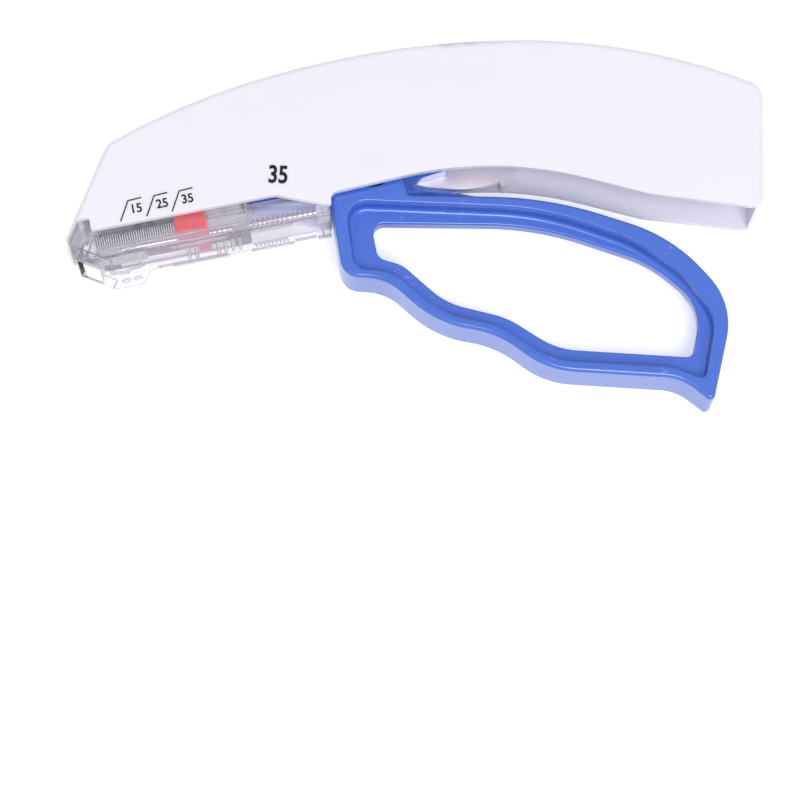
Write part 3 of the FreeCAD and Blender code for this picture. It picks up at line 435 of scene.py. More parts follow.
@dataclass(frozen=True)
class Steel:
    """Bright steel, brushed along one axis."""

    name: str
    colour: Colour
    dull_colour: Colour
    roughness: float
    brushed: tuple[float, float, float] = (40, 1, 1)
    # Share of painted shade on the faces that look along the rail.
    painted_gap_shade: float = 0.0

    def build(self) -> bpy.types.Material:
        """Builds the material, with painted shade on the faces that look along the rail, where round
        wires lie close side by side.
        """
        shader = Shader(self.name)
        brush = shader.noise(0.16 * MM, 3.0, self.brushed)
        cloud = shader.noise(5 * MM, 3.0)
        share = (brush * 0.7 + cloud * 0.5 - 0.2).clamped()
        colour = shader.blended(self.colour, self.dull_colour, share)
        # Painted shade where neighbouring wires would shade each other.
        if self.painted_gap_shade:
            painted_shade = (shader.sideways() * 2.2 - 0.7).clamped() * self.painted_gap_shade
            colour = shader.blended(colour, WIRE_GAP_SHADE, painted_shade)
        return shader.surface(
            {
                "Base Color": colour,
                "Metallic": 1.0,
                "Roughness": (brush * 0.16 + cloud * 0.1 + (self.roughness - 0.13)).clamped(),
                "Normal": shader.relief(brush * (0.004 * MM)),
            }
        )


@dataclass(frozen=True)
class PrintedInk:
    """Black ink printed on the plastic, slightly uneven."""

    name: str
    colour: Colour
    thin_colour: Colour

    def build(self) -> bpy.types.Material:
        """Builds the material."""
        shader = Shader(self.name)
        patchy = shader.noise(0.25 * MM, 3.0)
        share = (patchy * 1.6 - 0.6).clamped()
        return shader.surface(
            {
                "Base Color": shader.blended(self.colour, self.thin_colour, share),
                "Roughness": patchy * 0.2 + 0.35,
                "Specular IOR Level": 0.15,
                "Normal": shader.relief(patchy * (0.003 * MM)),
            }
        )


@dataclass(frozen=True)
class PaleFloor:
    """White floor that keeps the object's soft shadow and is white where nothing shades it."""

    name: str
    colour: Colour = (0.9, 0.9, 0.9)
    glow: float = 0.45

    def build(self) -> bpy.types.Material:
        """Builds the material."""
        shader = Shader(self.name)
        rays = shader.node("ShaderNodeLightPath")
        seen = shader.value(rays.outputs["Is Camera Ray"])
        mirrored = shader.value(rays.outputs["Is Glossy Ray"])
        through = shader.value(rays.outputs["Is Transmission Ray"])
        strength = (seen + mirrored + through).clamped() * self.glow
        diffuse = shader.node("ShaderNodeBsdfDiffuse", None, {"Color": self.colour})
        glow = shader.node("ShaderNodeEmission", None, {"Color": (1, 1, 1), "Strength": strength})
        both = shader.node("ShaderNodeAddShader", None, {0: diffuse.outputs[0], 1: glow.outputs[0]})
        shader.node("ShaderNodeOutputMaterial", None, {"Surface": both.outputs[0]})
        return shader.material


class GeometryTree(NodeGraph):
    """A Geometry Nodes tree with named inputs, which grows plain meshes."""

    def __init__(self, name: str, inputs: Mapping[str, str]) -> None:
        """Makes the tree with its inputs.

        Args:
            name: The tree's name.
            inputs: Socket type of each named input.
        """
        super().__init__(bpy.data.node_groups.new(name, "GeometryNodeTree"))
        face = self.tree.interface
        face.new_socket("Geometry", in_out="INPUT", socket_type="NodeSocketGeometry")
        for label, kind in {**inputs, "Finish": "NodeSocketMaterial"}.items():
            face.new_socket(label, in_out="INPUT", socket_type=kind)
        face.new_socket("Geometry", in_out="OUTPUT", socket_type="NodeSocketGeometry")
        self.entry = self.node("NodeGroupInput").outputs

    def close(self, geometry: bpy.types.NodeSocket, smooth: bool) -> None:
        """Ends the tree: instances made real, shading, and the finish.

        Args:
            geometry: What the tree has made.
            smooth: Whether its faces are shaded smooth.
        """
        real = self.node("GeometryNodeRealizeInstances", None, {"Geometry": geometry})
        shaded = self.node(
            "GeometryNodeSetShadeSmooth",
            None,
            {"Geometry": real.outputs[0], "Shade Smooth": smooth},
        )
        finished = self.node(
            "GeometryNodeSetMaterial",
            None,
            {"Geometry": shaded.outputs[0], "Material": self.entry["Finish"]},
        )
        self.node("NodeGroupOutput", None, {0: finished.outputs[0]})

    def grow(
        self, name: str, seed: bpy.types.Mesh, values: Mapping[str, Any], place: Matrix
    ) -> bpy.types.Object:
        """Runs the tree on a seed mesh and keeps the result as a plain object at the origin.

        Args:
            name: The piece's name.
            seed: The mesh that the tree starts from.
            values: A value for each named input.
            place: Where the result goes.

        Returns:
            The finished piece.
        """
        holder = bpy.data.objects.new(f"{name}_seed", seed)
        bpy.context.scene.collection.objects.link(holder)
        modifier = holder.modifiers.new("grow", "NODES")
        modifier.node_group = self.tree
        sockets = self.tree.interface.items_tree
        names = {item.name: item.identifier for item in sockets if item.in_out == "INPUT"}
        for label, value in values.items():
            modifier[names[label]] = value
        graph = bpy.context.evaluated_depsgraph_get()
        mesh = bpy.data.meshes.new_from_object(holder.evaluated_get(graph))
        mesh.transform(place)
        bpy.data.objects.remove(holder)
        return placed(name, mesh)


class CoilTree(GeometryTree):
    """Grows a coil of round wire, standing on the origin along Z."""

    def __init__(self) -> None:
        """Builds the nodes."""
        number = "NodeSocketFloat"
        names = ("Turns", "Coil radius", "Wire radius", "Length")
        super().__init__("wound_wire", {label: number for label in names})
        spiral = self.node(
            "GeometryNodeCurveSpiral",
            None,
            {
                "Resolution": 28,
                "Rotations": self.entry["Turns"],
                "Start Radius": self.entry["Coil radius"],
                "End Radius": self.entry["Coil radius"],
                "Height": self.entry["Length"],
            },
        )
        section = self.node(
            "GeometryNodeCurvePrimitiveCircle",
            None,
            {"Resolution": 10, "Radius": self.entry["Wire radius"]},
        )
        tube = self.node(
            "GeometryNodeCurveToMesh",
            None,
            {"Curve": spiral.outputs[0], "Profile Curve": section.outputs[0], "Fill Caps": True},
        )
        self.close(tube.outputs[0], True)


class WireRowTree(GeometryTree):
    """Grows a row of bent wires from one path of edges."""

    def __init__(self) -> None:
        """Builds the nodes."""
        super().__init__(
            "row_of_wires",
            {
                "Copies": "NodeSocketInt",
                "Step": "NodeSocketVector",
                "Bend radius": "NodeSocketFloat",
                "Wire radius": "NodeSocketFloat",
            },
        )
        path = self.node("GeometryNodeMeshToCurve", None, {"Mesh": self.entry["Geometry"]})
        bent = self.node(
            "GeometryNodeFilletCurve",
            {"mode": "POLY"},
            {"Curve": path.outputs[0], "Count": 6, "Radius": self.entry["Bend radius"]},
        )
        section = self.node(
            "GeometryNodeCurvePrimitiveCircle",
            None,
            {"Resolution": 10, "Radius": self.entry["Wire radius"]},
        )
        wire = self.node(
            "GeometryNodeCurveToMesh",
            None,
            {"Curve": bent.outputs[0], "Profile Curve": section.outputs[0], "Fill Caps": True},
        )
        spots = self.node(
            "GeometryNodeMeshLine",
            {"mode": "OFFSET"},
            {"Count": self.entry["Copies"], "Offset": self.entry["Step"]},
        )
        copies = self.node(
            "GeometryNodeInstanceOnPoints",
            None,
            {"Points": spots.outputs[0], "Instance": wire.outputs[0]},
        )
        self.close(copies.outputs[0], True)


class RowTree(GeometryTree):
    """Repeats a small moulded shape along a line."""

    def __init__(self) -> None:
        """Builds the nodes."""
        super().__init__("row_of_shapes", {"Copies": "NodeSocketInt", "Step": "NodeSocketVector"})
        spots = self.node(
            "GeometryNodeMeshLine",
            {"mode": "OFFSET"},
            {"Count": self.entry["Copies"], "Offset": self.entry["Step"]},
        )
        copies = self.node(
            "GeometryNodeInstanceOnPoints",
            None,
            {"Points": spots.outputs[0], "Instance": self.entry["Geometry"]},
        )
        self.close(copies.outputs[0], False)


def placed(name: str, mesh: bpy.types.Mesh) -> bpy.types.Object:
    """Puts a mesh in the scene as an object at the origin."""
    made = bpy.data.objects.new(name, mesh)
    bpy.context.scene.collection.objects.link(made)
    return made


def prism(outline: Sequence[Point], low: float, high: float, bevel: float = 0.0) -> bmesh.types.BMesh:
    """Makes a prism that stands on the XY plane.

    Args:
        outline: Its corners in millimetres, in order.
        low: Height of its lower face, in millimetres.
        high: Height of its upper face, in millimetres.
        bevel: Width of its rounded edges, in millimetres.

    Returns:
        The open mesh, in metres.
    """
    made = bmesh.new()
    bottom = [made.verts.new((x * MM, y * MM, low * MM)) for x, y in outline]
    face = made.faces.new(bottom)
    raised = bmesh.ops.extrude_face_region(made, geom=[face])
    top = [item for item in raised["geom"] if isinstance(item, bmesh.types.BMVert)]
    bmesh.ops.translate(made, verts=top, vec=(0, 0, (high - low) * MM))
    bmesh.ops.recalc_face_normals(made, faces=made.faces)
    if bevel:
        edges = list(made.edges)
        bmesh.ops.bevel(made, geom=edges, offset=bevel * MM, segments=2, profile=0.5, affect="EDGES")
    return made


def merged(name: str, parts: Sequence[bmesh.types.BMesh]) -> bpy.types.Mesh:
    """Joins open meshes into one mesh.

    Args:
        name: Its name.
        parts: The open meshes, which are freed.

    Returns:
        The joined mesh.
    """
    mesh = bpy.data.meshes.new(name)
    whole = bmesh.new()
    for part in parts:
        part.to_mesh(mesh)
        whole.from_mesh(mesh)
        part.free()
    whole.to_mesh(mesh)
    whole.free()
    return mesh


def block(x: Point, y: Point, z: Point, bevel: float = 0.08) -> bmesh.types.BMesh:
    """Small moulded block between two limits along each axis, in millimetres."""
    corners = [(x[0], y[0]), (x[1], y[0]), (x[1], y[1]), (x[0], y[1])]
    return prism(corners, z[0], z[1], bevel)


@dataclass
class Palette:
    """The stapler's finishes, built once."""

    white: MouldedPlastic = MouldedPlastic(
        "white_moulding", linear(244, 241, 255), linear(241, 238, 255), 0.34, 0.2, milkiness=0.5
    )
    blue: MouldedPlastic = MouldedPlastic(
        "blue_moulding", linear(68, 113, 216), linear(60, 104, 207), 0.3, 0.4, 0.15, 1.0 * MM, 0.35
    )
    red: MouldedPlastic = MouldedPlastic(
        "red_moulding", linear(236, 30, 52), linear(222, 22, 44), 0.3, 0.2, milkiness=0.2
    )
    clear: ClearPlastic = ClearPlastic(
        "clear_moulding",
        (0.88, 0.84, 0.95),
        (0.68, 0.63, 0.77),
        # Painted shadow of the housing's lip on the tail.
        (0.26, 0.25, 0.3),
        # Painted dark edge lines.
        (0.16, 0.14, 0.2),
    )
    # The faint pink tint of this steel paints a reflection of pinkish surroundings.
    stamped: Steel = Steel("stamped_steel", (0.96, 0.9, 0.94), (0.87, 0.82, 0.86), 0.46)
    # Dark steel for the sheets that paint the shade inside the jaw's slot.
    dark: Steel = Steel("painted_slot_shade_steel", (0.16, 0.14, 0.14), (0.08, 0.07, 0.07), 0.4)
    dull: Steel = Steel("rail_steel", (0.42, 0.4, 0.44), (0.3, 0.29, 0.33), 0.45)
    sprung: Steel = Steel("spring_steel", (0.6, 0.6, 0.64), (0.42, 0.42, 0.46), 0.28, (1, 1, 1))
    # The staple wire gets painted shade on the sides that face its neighbours.
    wire: Steel = Steel("bright_wire", (0.95, 0.94, 0.97), (0.82, 0.81, 0.86), 0.22, (1, 1, 1), 0.9)
    ink: PrintedInk = PrintedInk("black_print", (0.008, 0.008, 0.016), (0.03, 0.03, 0.042))
    made: dict[str, bpy.types.Material] = field(default_factory=dict)

    def get(self, finish: Any) -> bpy.types.Material:
        """The material of a finish, built when it is first asked for."""
        if finish.name not in self.made:
            self.made[finish.name] = finish.build()
            LOG.info("finish %s built", finish.name)
        return self.made[finish.name]

    def dress_packed(self) -> None:
        """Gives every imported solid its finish."""
        finishes = {
            self.white: ("housing_lower", "housing_upper", "spring_plug"),
            self.blue: ("trigger",),
            self.red: ("pusher",),
            self.clear: ("magazine_frame", "magazine_cover"),
            self.stamped: (
                "pivot_pin",
                "drive_lever",
                "lever_rivets",
                "former_blade",
                "former_cheek_lower",
                "former_cheek_upper",
                "drive_pin",
                "anvil_plate",
                "guide_rod",
            ),
            self.dull: ("staple_rail",),
            self.sprung: ("ejector_spring",),
        }
        for finish, nodes in finishes.items():
            for node in nodes:
                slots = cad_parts[node].data.materials
                slots.clear()
                slots.append(self.get(finish))
                LOG.info("packed %s dressed in %s", node, finish.name)


@dataclass
class PrintedGauge:
    """The staple gauge printed on the upper side: three ticks with their numbers, and a large number.

    Lengths are in millimetres.
    """

    face: float = 20.0
    ink_thickness: float = 0.03
    stroke: float = 0.32
    tick_feet: tuple[float, ...] = (-60.5, -54.3, -48.3)
    numbers: tuple[str, ...] = ("15", "25", "35")
    foot_y: float = -3.2
    knee: Point = (2.55, 4.65)
    arm: Point = (5.75, 4.85)
    number_place: Point = (2.65, 1.45)
    number_narrowing: float = 0.95
    number_height: float = 2.15
    number_weight: float = 0.028
    figure_share: float = 0.7
    large_number: str = "35"
    large_place: Point = (-25.1, -0.5)
    large_height: float = 4.2
    large_weight: float = 0.035
    large_narrowing: float = 0.8
    large_turn: float = -14.0

    def tick(self, foot_x: float) -> bmesh.types.BMesh:
        """One tick: a leaning line with an arm along the rail.

        Args:
            foot_x: Where its foot stands along the rail.

        Returns:
            The tick as a thin open mesh.
        """
        foot = Vector((foot_x, self.foot_y))
        knee = foot + Vector(self.knee)
        tip = foot + Vector(self.arm)
        rise = (knee - foot).normalized()
        run = (tip - knee).normalized()
        half = self.stroke / 2
        side = Vector((-rise.y, rise.x)) * half
        over = Vector((-run.y, run.x)) * half
        miter = (side + over) * (half * half / (half * half + side.dot(over)))
        corners = [foot - side, knee - miter, tip - over, tip + over, knee + miter, foot + side]
        return prism([(p.x, p.y) for p in corners], self.face, self.face + self.ink_thickness)

    def lettering(
        self, text: str, place: Point, height: float, turn: float, weight: float, narrowing: float
    ) -> bpy.types.Mesh:
        """Makes a printed number.

        Args:
            text: The number.
            place: Its lower left corner.
            height: Height of its figures.
            turn: Its turn, in degrees.
            weight: How much its strokes are fattened, as a share of its height.
            narrowing: Width of its figures as a share of their usual width.

        Returns:
            The number as a thin mesh in its place.
        """
        curve = bpy.data.curves.new("figures", "FONT")
        curve.body = text
        curve.size = height * MM / self.figure_share
        curve.extrude = self.ink_thickness * MM / 2
        curve.offset = weight * height * MM
        holder = placed("figures", curve)
        graph = bpy.context.evaluated_depsgraph_get()
        mesh = bpy.data.meshes.new_from_object(holder.evaluated_get(graph))
        bpy.data.objects.remove(holder)
        lift = Vector((place[0] * MM, place[1] * MM, (self.face + self.ink_thickness / 2) * MM))
        narrow = Matrix.Diagonal((narrowing, 1, 1, 1))
        mesh.transform(Matrix.Translation(lift) @ Matrix.Rotation(math.radians(turn), 4, "Z") @ narrow)
        return mesh

    def build(self, palette: Palette) -> None:
        """Prints the gauge on the upper side."""
        parts = [self.tick(foot) for foot in self.tick_feet]
        meshes = []
        for foot, number in zip(self.tick_feet, self.numbers):
            place = (foot + self.number_place[0], self.foot_y + self.number_place[1])
            size, weight = self.number_height, self.number_weight
            meshes.append(self.lettering(number, place, size, 0.0, weight, self.number_narrowing))
        place, size, turn = self.large_place, self.large_height, self.large_turn
        weight, narrowing = self.large_weight, self.large_narrowing
        meshes.append(self.lettering(self.large_number, place, size, turn, weight, narrowing))
        for mesh in meshes:
            figure = bmesh.new()
            figure.from_mesh(mesh)
            parts.append(figure)
        gauge = placed("printed_gauge", merged("printed_gauge", parts))
        gauge.data.materials.append(palette.get(palette.ink))
        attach(gauge, Body.BASE.value)
        LOG.info("printed gauge made with %d faces", len(gauge.data.polygons))


@dataclass
class StapleRow:
    """The staples on the rail: round wire with bent corners. Lengths are in millimetres."""

    count: int = 35
    pitch: float = 0.55
    wire: float = 0.36
    crown_y: float = -3.9
    leg_end_y: float = -7.3
    width: float = 12.7
    middle: float = 10.0
    front_x: float = -67.6
    bend: float = 0.75
    keep: float = 0.04

    def build(self, tree: WireRowTree, palette: Palette) -> None:
        """Grows the row and sets it on the base."""
        half = self.width / 2 - self.wire / 2
        top = self.crown_y - self.wire / 2
        seed = bpy.data.meshes.new("staple_path")
        spots = [(self.leg_end_y, -half), (top, -half), (top, half), (self.leg_end_y, half)]
        points = [(0.0, y * MM, (self.middle + z) * MM) for y, z in spots]
        seed.from_pydata(points, [(0, 1), (1, 2), (2, 3)], [])
        values = {
            "Copies": self.count,
            "Step": (self.pitch * MM, 0.0, 0.0),
            "Bend radius": self.bend * MM,
            "Wire radius": self.wire * MM / 2,
            "Finish": palette.get(palette.wire),
        }
        start = Matrix.Translation(((self.front_x + self.wire / 2) * MM, 0, 0))
        row = tree.grow("staple_row", seed, values, start)
        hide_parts("staple_stack")
        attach(row, Body.BASE.value)
        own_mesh(row)
        LOG.info("staple row made with %d staples", self.count)


@dataclass
class FeedSpring:
    """The long spring behind the pusher. Lengths are in millimetres."""

    coil_radius: float = 1.19
    wire_radius: float = 0.2
    turns: float = 21.0
    y: float = -6.9
    z: float = 10.0

    def build(self, tree: CoilTree, palette: Palette) -> None:
        """Grows the coil between the plug and the pusher."""
        low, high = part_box("pusher_spring")
        margin = self.wire_radius * MM
        values = {
            "Turns": self.turns,
            "Coil radius": self.coil_radius * MM,
            "Wire radius": margin,
            "Length": high.x - low.x - 2 * margin,
            "Finish": palette.get(palette.sprung),
        }
        place = Matrix.Translation((low.x + margin, self.y * MM, self.z * MM))
        along = place @ Matrix.Rotation(math.radians(90), 4, "Y")
        coil = tree.grow("feed_coil", bpy.data.meshes.new("feed_seed"), values, along)
        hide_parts("pusher_spring")
        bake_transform(coil)
        LOG.info("feed spring made with %.0f turns", self.turns)


@dataclass
class ReturnSpring:
    """The spring round the trigger's pivot, with its two legs. Lengths are in millimetres."""

    coil_radius: float = 4.5
    wire_radius: float = 0.42
    turns: float = 3.5
    coil_low: float = 13.65
    coil_high: float = 16.3
    leg_reach: float = 11.6
    leg_height: float = 17.2
    hook_low: float = 11.4

    def legs(self) -> bmesh.types.BMesh:
        """The leg on the housing's post with its step, and the hook in the trigger, as round wires."""
        made = bmesh.new()
        radius = self.wire_radius * MM
        reach = self.leg_reach * MM
        side = self.coil_radius * MM
        lying = Matrix.Translation((side, reach / 2, self.leg_height * MM))
        lying = lying @ Matrix.Rotation(math.radians(90), 4, "X")
        rise = (self.leg_height - self.coil_high) * MM
        step = Matrix.Translation((side, 0, self.coil_high * MM + rise / 2))
        drop = (self.coil_low - self.hook_low) * MM
        hook = Matrix.Translation((-side, 0, self.hook_low * MM + drop / 2))
        for place, length in ((lying, reach), (step, rise + 2 * radius), (hook, drop)):
            bmesh.ops.create_cone(
                made,
                cap_ends=True,
                segments=12,
                radius1=radius,
                radius2=radius,
                depth=length,
                matrix=place,
            )
        return made

    def build(self, tree: CoilTree, palette: Palette) -> None:
        """Grows the coil and adds its legs."""
        finish = palette.get(palette.sprung)
        values = {
            "Turns": self.turns,
            "Coil radius": self.coil_radius * MM,
            "Wire radius": self.wire_radius * MM,
            "Length": (self.coil_high - self.coil_low) * MM,
            "Finish": finish,
        }
        place = Matrix.Translation((0, 0, self.coil_low * MM)) @ Matrix.Rotation(math.pi, 4, "Z")
        coil = tree.grow("return_coil", bpy.data.meshes.new("return_seed"), values, place)
        whole = self.legs()
        whole.from_mesh(coil.data)
        whole.to_mesh(coil.data)
        whole.free()
        coil.data.materials.clear()
        coil.data.materials.append(finish)
        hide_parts("return_spring")
        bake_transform(coil)
        LOG.info("return spring made with %.1f turns", self.turns)


@dataclass
class CartridgeDetail:
    """Small moulded detail of the clear cartridge. Lengths are in millimetres.

    A ledge is given by its start and end along the rail and its lower and upper edge.
    """

    side_low: float = 2.0
    side_high: float = 18.0
    jaw_low: float = 2.4
    jaw_high: float = 17.6
    proud: float = 0.4
    root: float = 0.02
    ledges: tuple[tuple[float, float, float, float], ...] = (
        (-66.0, -31.4, -8.7, -8.3),
        (-54.0, -37.4, -10.5, -9.9),
        (-40.4, -31.4, -5.7, -5.35),
        (-36.8, -31.4, -7.0, -6.6),
        (-30.6, -22.4, -9.4, -9.0),
        (-20.7, -15.6, -10.3, -9.8),
        (-31.5, -31.1, -8.2, -3.6),
        (-14.0, -13.6, -10.2, -8.7),
    )
    steps: tuple[Point, ...] = ((-50.3, -36.9), (-31.4, -21.2), (-15.2, -12.1))
    step_drop: float = 0.6
    floor_y: float = -10.6
    nose_web: tuple[Point, ...] = (
        (-66.0, -8.5),
        (-65.4, -9.9),
        (-61.2, -10.4),
        (-60.6, -9.6),
        (-58.2, -9.6),
        (-56.8, -8.8),
        (-57.2, -8.5),
        (-58.8, -9.1),
        (-61.0, -9.1),
        (-62.0, -9.6),
        (-64.4, -9.3),
        (-64.9, -8.5),
    )
    front_ribs: tuple[tuple[Point, ...], ...] = (
        ((-73.0, -4.9), (-72.6, -5.2), (-70.4, -1.5), (-71.0, -1.5)),
        ((-71.3, -5.6), (-70.9, -5.9), (-68.6, -1.5), (-69.1, -1.5)),
        ((-69.6, -6.6), (-69.2, -6.9), (-67.2, -3.2), (-67.6, -3.2)),
    )
    jaw_bosses: tuple[Point, ...] = ((-62.1, -12.1), (-59.3, -12.0))
    jaw_boss_size: Point = (1.1, 0.5)
    floor_rib_starts: tuple[tuple[float, int], ...] = ((-46.2, 2), (-39.2, 4))
    floor_rib_pitch: float = 1.75
    floor_rib_foot: float = 0.22
    floor_rib_root: float = 0.5
    floor_rib_layers: Point = (5.2, 14.8)
    boss_sides: int = 20
    step_inset: float = 0.1
    step_width: float = 1.2
    tooth_half: float = 0.2
    tooth_heights: Point = (-9.9, -9.55)
    tooth_first_x: float = -30.0
    tooth_pitch: float = 0.95
    tooth_count: int = 9

    def layers(self, side: Side, jaw: bool = False) -> Point:
        """Height limits of detail that stands proud of one side.

        Args:
            side: Which side.
            jaw: Whether it stands on the narrower jaw.

        Returns:
            The lower and upper height.
        """
        low = self.jaw_low if jaw else self.side_low
        high = self.jaw_high if jaw else self.side_high
        if side is Side.UPPER:
            return high + self.root, high + self.proud
        return low - self.proud, low - self.root

    def side_ledges(self) -> list[bmesh.types.BMesh]:
        """Ledges on both sides, with short steps below the floor."""
        parts = []
        for side in Side:
            for start, end, bottom, top in self.ledges:
                parts.append(block((start, end), (bottom, top), self.layers(side)))
        low = self.side_low + self.step_inset
        high = self.side_high - self.step_inset
        walls = ((low, low + self.step_width), (high - self.step_width, high))
        for start, end in self.steps:
            for wall in walls:
                drop = (self.floor_y - self.step_drop, self.floor_y - self.root)
                parts.append(block((start, end), drop, wall))
        return parts

    def nose_parts(self) -> list[bmesh.types.BMesh]:
        """Webs and ribs of the nose, and small oval bosses on the jaw."""
        parts = []
        for side in Side:
            for outline in (self.nose_web, *self.front_ribs):
                parts.append(prism(outline, *self.layers(side), 0.08))
            low, high = self.layers(side, True)
            for x, y in self.jaw_bosses:
                turns = [math.tau * step / self.boss_sides for step in range(self.boss_sides)]
                wide, tall = self.jaw_boss_size
                oval = [(x + wide * math.cos(turn), y + tall * math.sin(turn)) for turn in turns]
                parts.append(prism(oval, low, high, 0.1))
        return parts

    def floor_rib(self) -> bmesh.types.BMesh:
        """One rib across the underside of the floor, wider where it meets it."""
        low = self.floor_y - self.proud
        high = self.floor_y - self.root
        foot, root = self.floor_rib_foot, self.floor_rib_root
        outline = [(-foot, low), (foot, low), (root, high), (-root, high)]
        return prism(outline, *self.floor_rib_layers, 0.1)

    def build(self, tree: RowTree, palette: Palette) -> None:
        """Adds the ledges, nose parts, ribs and teeth to the cartridge."""
        clear = palette.get(palette.clear)
        fixed = placed("cartridge_ledges", merged("cartridge_ledges", self.side_ledges()))
        nose = placed("cartridge_nose", merged("cartridge_nose", self.nose_parts()))
        pieces = [fixed, nose]
        for piece in pieces:
            piece.data.materials.append(clear)
        for number, (start, count) in enumerate(self.floor_rib_starts, start=1):
            rib = merged("floor_rib", [self.floor_rib()])
            values = {"Copies": count, "Step": (self.floor_rib_pitch * MM, 0, 0), "Finish": clear}
            place = Matrix.Translation((start * MM, 0, 0))
            pieces.append(tree.grow(f"floor_ribs_{number}", rib, values, place))
        step = (self.tooth_pitch * MM, 0, 0)
        values = {"Copies": self.tooth_count, "Step": step, "Finish": clear}
        place = Matrix.Translation((self.tooth_first_x * MM, 0, 0))
        span = (-self.tooth_half, self.tooth_half)
        for side in Side:
            tooth = merged("tooth", [block(span, self.tooth_heights, self.layers(side), 0.05)])
            pieces.append(tree.grow(f"cartridge_teeth_{side.name.lower()}", tooth, values, place))
        for piece in pieces:
            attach(piece, Body.BASE.value)
        LOG.info("cartridge detail made in %d pieces", len(pieces))


@dataclass
class JawMouth:
    """Dark steel sheets in the slot that the staple leaves by, which paint the shade inside it, and
    the thin rim round the jaw's mouth.

    A place is given by its depth behind the front edge and its rise up that edge, in millimetres.
    """

    tip: Point = (-74.3, -5.0)
    tilt: float = 33.0
    face_rise: float = -2.4
    proud: float = 0.12
    rim_depths: Point = (3.8, 9.85)
    rim_heights: Point = (4.0, 16.0)
    rim_width: float = 0.22
    # Depths, heights and top of the sheets of painted shade inside the slot.
    shade_sheet_depths: tuple[Point, ...] = ((4.07, 4.15), (5.3, 5.43))
    shade_sheet_heights: Point = (3.5, 16.5)
    shade_sheet_top: float = 0.5

    def spot(self, depth: float, rise: float) -> Point:
        """The place on the XY plane of a depth and a rise."""
        turn = math.radians(self.tilt)
        x = self.tip[0] + depth * math.cos(turn) + rise * math.sin(turn)
        return x, self.tip[1] - depth * math.sin(turn) + rise * math.cos(turn)

    def bar(self, depths: Point, rises: Point, heights: Point) -> bmesh.types.BMesh:
        """A bar between two depths, two rises and two heights.

        Args:
            depths: Its front and back.
            rises: Its lower and upper end.
            heights: Its limits through the thickness.

        Returns:
            The bar as an open mesh.
        """
        corners = [self.spot(depths[0], rises[0]), self.spot(depths[1], rises[0])]
        corners += [self.spot(depths[1], rises[1]), self.spot(depths[0], rises[1])]
        return prism(corners, heights[0], heights[1], 0.03)

    def build(self, palette: Palette) -> None:
        """Makes the dark sheets of painted slot shade, and the rim."""
        front, back = self.rim_depths
        low, high = self.rim_heights
        rises = (self.face_rise - self.proud, self.face_rise + self.proud)
        wide = self.rim_width
        parts = [
            self.bar((front, front + wide), rises, (low, high)),
            self.bar((back - wide, back), rises, (low, high)),
            self.bar((front, back), rises, (low - wide, low)),
            self.bar((front, back), rises, (high, high + wide)),
        ]
        rim = placed("jaw_rim", merged("jaw_rim", parts))
        # Dark sheets that paint the shade inside the slot that the staple leaves by.
        sheets = [
            self.bar(depths, (self.face_rise, self.shade_sheet_top), self.shade_sheet_heights)
            for depths in self.shade_sheet_depths
        ]
        shade_sheets = placed("slot_shade_sheets", merged("slot_shade_sheets", sheets))
        for piece, finish in ((rim, palette.sprung), (shade_sheets, palette.dark)):
            piece.data.materials.append(palette.get(finish))
            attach(piece, Body.BASE.value)
        LOG.info("jaw rim and slot lining made")


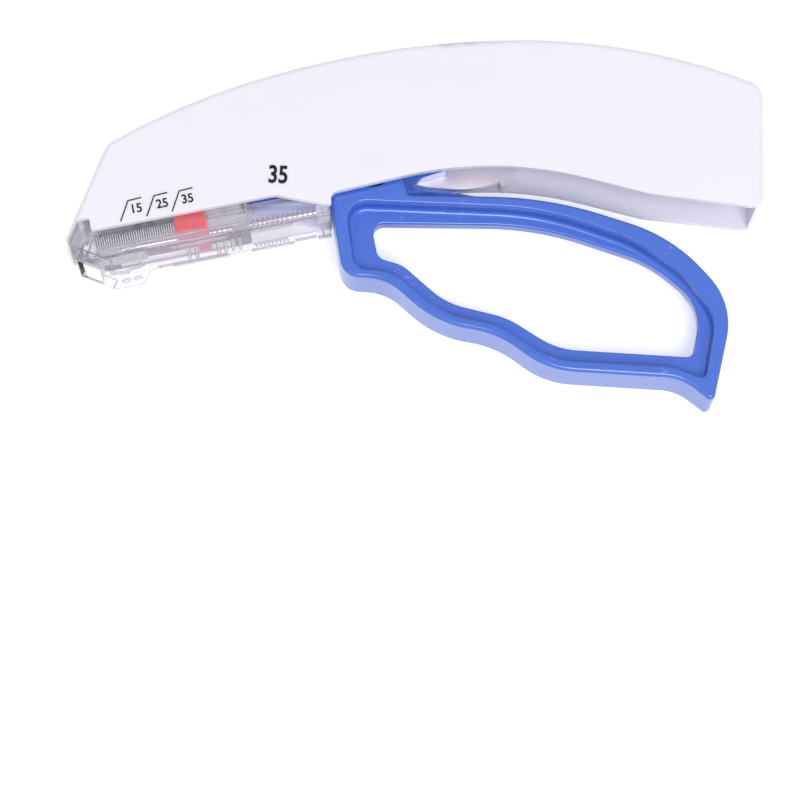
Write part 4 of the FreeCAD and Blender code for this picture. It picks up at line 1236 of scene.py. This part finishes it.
@dataclass
class Studio:
    """Pale floor, soft lamps and the camera at the photograph's angle. Lengths are in metres."""

    distance: float = 0.69
    tilt: float = 14.4
    roll: float = 2.5
    heading: float = 14.048
    aim: tuple[float, float, float] = (-0.005281, -0.058288, 0.020)
    lens: float = 135.0
    sensor: float = 36.0
    floor_size: float = 6.0
    floor_drop: float = 0.00005
    sky: float = 0.42
    main_place: tuple[float, float, float] = (0.06, -0.6, 1.2)
    main_size: float = 0.55
    main_power: float = 11.1
    rim_place: tuple[float, float, float] = (-0.4, 0.8, 1.0)
    rim_size: float = 0.5
    rim_power: float = 1.4

    def camera(self) -> None:
        """Places the camera above the stapler, tilted and rolled as in the photograph."""
        tilt, roll = math.radians(self.tilt), math.radians(self.roll)
        ahead = Vector((0, math.sin(tilt), -math.cos(tilt)))
        level = Vector((1, 0, 0))
        up = level.cross(ahead)
        right = level * math.cos(roll) + up * math.sin(roll)
        above = up * math.cos(roll) - level * math.sin(roll)
        axes = Matrix((right, above, -ahead)).transposed()
        turned = Matrix.Rotation(-math.radians(self.heading), 3, "Z") @ axes
        data = bpy.data.cameras.new("camera")
        data.lens = self.lens
        data.sensor_width = self.sensor
        data.clip_start = 0.01
        data.clip_end = 20.0
        camera = placed("camera", data)
        place = Vector(self.aim) + turned.col[2] * self.distance
        camera.matrix_world = Matrix.Translation(place) @ turned.to_4x4()
        bpy.context.scene.camera = camera

    def floor(self) -> None:
        """Lays the floor just under the stapler."""
        half = self.floor_size / 2
        mesh = bpy.data.meshes.new("floor")
        corners = [(-half, -half), (half, -half), (half, half), (-half, half)]
        mesh.from_pydata([(x, y, -self.floor_drop) for x, y in corners], [], [(0, 1, 2, 3)])
        mesh.materials.append(PaleFloor("pale_floor").build())
        placed("floor", mesh)

    def lamp(self, name: str, place: Sequence[float], size: float, power: float) -> None:
        """Hangs a soft square lamp that shines at the stapler.

        Args:
            name: Its name.
            place: Where it hangs.
            size: Length of its side.
            power: Its power, in watts.
        """
        data = bpy.data.lights.new(name, "AREA")
        data.shape = "SQUARE"
        data.size = size
        data.energy = power
        lamp = placed(name, data)
        away = Vector(place) - Vector(self.aim)
        turn = away.to_track_quat("Z", "Y").to_matrix().to_4x4()
        lamp.matrix_world = Matrix.Translation(place) @ turn

    def world(self) -> None:
        """Even white surroundings, seen as white by the camera, in metal and through clear plastic."""
        world = bpy.data.worlds.new("surroundings")
        world.use_nodes = True
        world.node_tree.nodes.clear()
        graph = NodeGraph(world.node_tree)
        rays = graph.node("ShaderNodeLightPath").outputs
        seen = Expression(graph, rays["Is Camera Ray"])
        mirrored = Expression(graph, rays["Is Glossy Ray"])
        through = Expression(graph, rays["Is Transmission Ray"])
        direct = (seen + mirrored + through).clamped()
        strength = direct * (1 - self.sky) + self.sky
        light = graph.node("ShaderNodeBackground", None, {"Color": (1, 1, 1), "Strength": strength})
        graph.node("ShaderNodeOutputWorld", None, {"Surface": light.outputs[0]})
        bpy.context.scene.world = world

    def build(self) -> None:
        """Builds the studio."""
        self.camera()
        self.floor()
        self.lamp("main_lamp", self.main_place, self.main_size, self.main_power)
        self.lamp("rim_lamp", self.rim_place, self.rim_size, self.rim_power)
        self.world()
        bpy.context.scene.view_settings.view_transform = "Standard"
        LOG.info("studio built")


def main() -> None:
    """Builds the scene and reports each piece."""
    logging.basicConfig(level=logging.INFO, format="%(name)s: %(message)s")
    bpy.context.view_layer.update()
    Studio().build()
    palette = Palette()
    palette.dress_packed()
    coils = CoilTree()
    PrintedGauge().build(palette)
    StapleRow().build(WireRowTree(), palette)
    FeedSpring().build(coils, palette)
    ReturnSpring().build(coils, palette)
    CartridgeDetail().build(RowTree(), palette)
    JawMouth().build(palette)
    LOG.info("sizes written")


if __name__ == "__main__":
    main()
